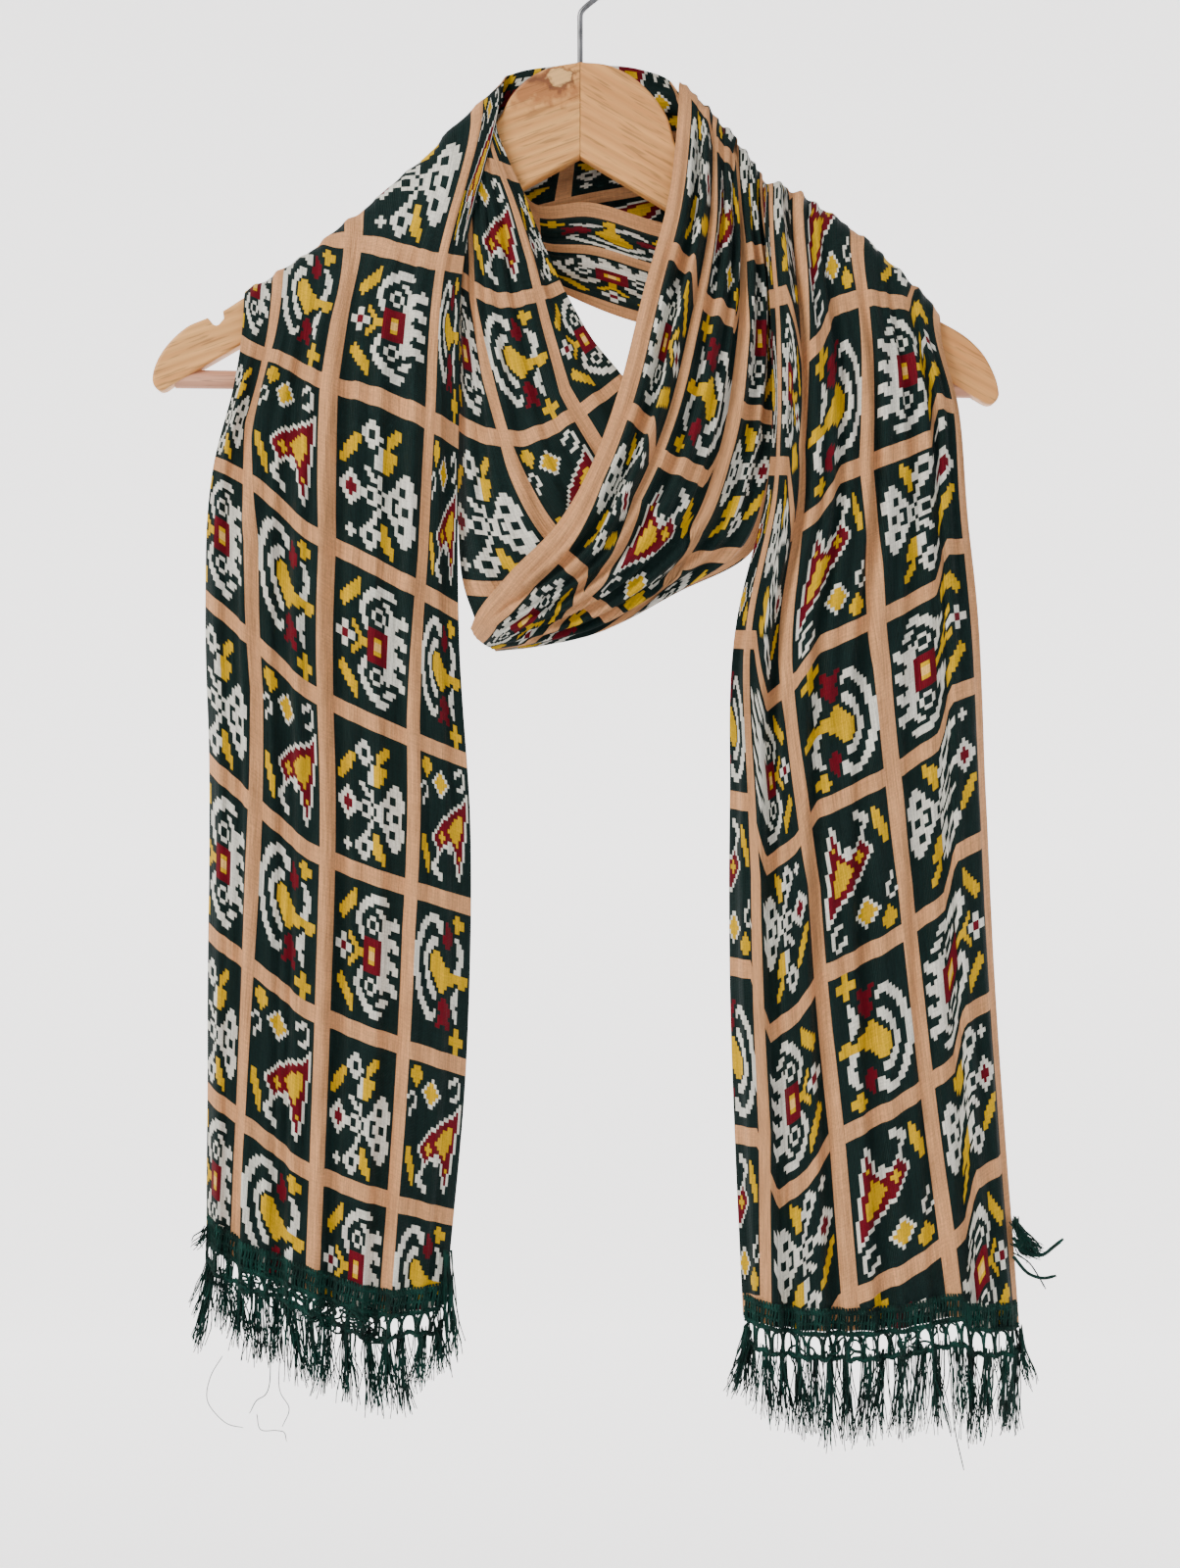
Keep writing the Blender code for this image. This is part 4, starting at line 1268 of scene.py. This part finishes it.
def makePlate(name, plate, finish):
    # Rings of the outline, drawn in a little towards both faces for a rounded edge.
    outline = outlinePath(plate["outline"])
    turned = np.roll(outline, -1, axis=0)
    if (outline[:, 0] * turned[:, 1] - turned[:, 0] * outline[:, 1]).sum() < 0:
        outline = outline[::-1]
    along = unit(np.roll(outline, -1, axis=0) - np.roll(outline, 1, axis=0))
    inward = np.stack([-along[:, 1], along[:, 0]], axis=1)
    inward[np.abs(outline[:, 0]) < plateSize["seam"], 0] = 0
    fromNotch = np.linalg.norm(outline - plateSize["notch"], axis=1)
    inward *= 0.15 + 0.85 * ease(fromNotch, 5, 12)[:, None]  # the notch is hardly rounded
    radius, half = plateSize["edgeRadius"], plateSize["thickness"] / 2
    turn = np.radians(np.linspace(0, 90, 6))
    inset = radius * (1 - np.sin(turn))
    depth = -half + radius * (1 - np.cos(turn))
    inset = np.concatenate([inset, inset[::-1]])
    depth = np.concatenate([depth, -depth[::-1]])
    flat = outline + inward * inset[:, None, None]
    points = np.stack([flat[..., 0], np.broadcast_to(depth[:, None], flat.shape[:2]), flat[..., 1]], axis=-1)
    rings, count = flat.shape[:2]
    front = np.arange(count)
    back = (rings - 1) * count + front[::-1]
    faces = [*ringQuads(rings, count).tolist(), front.tolist(), back.tolist()]
    piece = newPiece(name, points.reshape(-1, 3) * mm, faces, finish)
    for face in piece.data.polygons[-2:]:
        face.use_smooth = False  # the two faces stay flat
    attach(piece, "root")
    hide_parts(plate["node"])


def makeHanger():
    left = woodFinish("beechLeft", (236, 178, 108), (206, 142, 78), 20, knotFigure)
    right = woodFinish("beechRight", (228, 166, 98), (204, 138, 76), -30)
    bar = woodFinish("beechBar", (222, 168, 138), (196, 136, 108), -1, gloss=0.36)
    makePlate("hangerLeftHalf", plates["hangerLeftHalf"], left)
    makePlate("hangerRightHalf", plates["hangerRightHalf"], right)
    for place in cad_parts["hanger_bar"].material_slots:
        place.material = bar
    print("hanger made")


# backdrop
backdrop = {"floorHeight": -1.4, "radius": 4.2, "bend": 0.8, "wallHeight": 3.2, "glow": 1.7}


def makeBackdrop():
    # A round pale floor that turns up smoothly into a low wall, all in one sheet.
    radius, bend = backdrop["radius"], backdrop["bend"]
    profile = [(0.01, 0), (radius - bend, 0)]
    profile += [(radius - bend + bend * math.sin(turn), bend - bend * math.cos(turn))
                for turn in np.linspace(0.1, math.pi / 2, 12)]
    profile += [(radius, backdrop["wallHeight"])]
    profile = np.array(profile)
    turn = np.linspace(0, 2 * math.pi, 73)[:-1]
    x = profile[:, :1] * np.cos(turn)
    y = profile[:, :1] * np.sin(turn)
    z = np.broadcast_to(backdrop["floorHeight"] + profile[:, 1:], x.shape)
    faces = [*ringQuads(*x.shape).tolist(), list(range(len(turn)))]
    made, tree, shader = newMaterial("palePaper", (0.82, 0.81, 0.81), {
        "Roughness": 0.95,
        "Emission Color": (1, 0.985, 0.98, 1),
    })
    # only the half behind the stole glows, more the farther back it is
    place = objectPlace(tree)
    depth = addNode(tree, "ShaderNodeSeparateXYZ", links={0: place}).outputs["Y"]
    glow = addNode(tree, "ShaderNodeMapRange", {
        "From Min": -1.0, "From Max": 2.6, "To Min": 0.0, "To Max": backdrop["glow"],
    }, {"Value": depth}, interpolation_type="SMOOTHSTEP").outputs[0]
    tree.links.new(glow, shader.inputs["Emission Strength"])
    points = np.stack([x, y, z], axis=-1).reshape(-1, 3)
    piece = newPiece("paleBackdrop", points, faces, made)


setStudio()
print("studio set")
makeBackdrop()
makeHanger()
makeHook(steelFinish())
thread = threadFinish()
fringes = {
    "left_tail": makeFringe("leftFringe", leftTail, leftFringe, thread, "left_fringe"),
    "right_tail": makeFringe("rightFringe", rightTail, rightFringe, thread, "right_fringe"),
}
makeCloth(clothFinish())
bpy.context.view_layer.update()
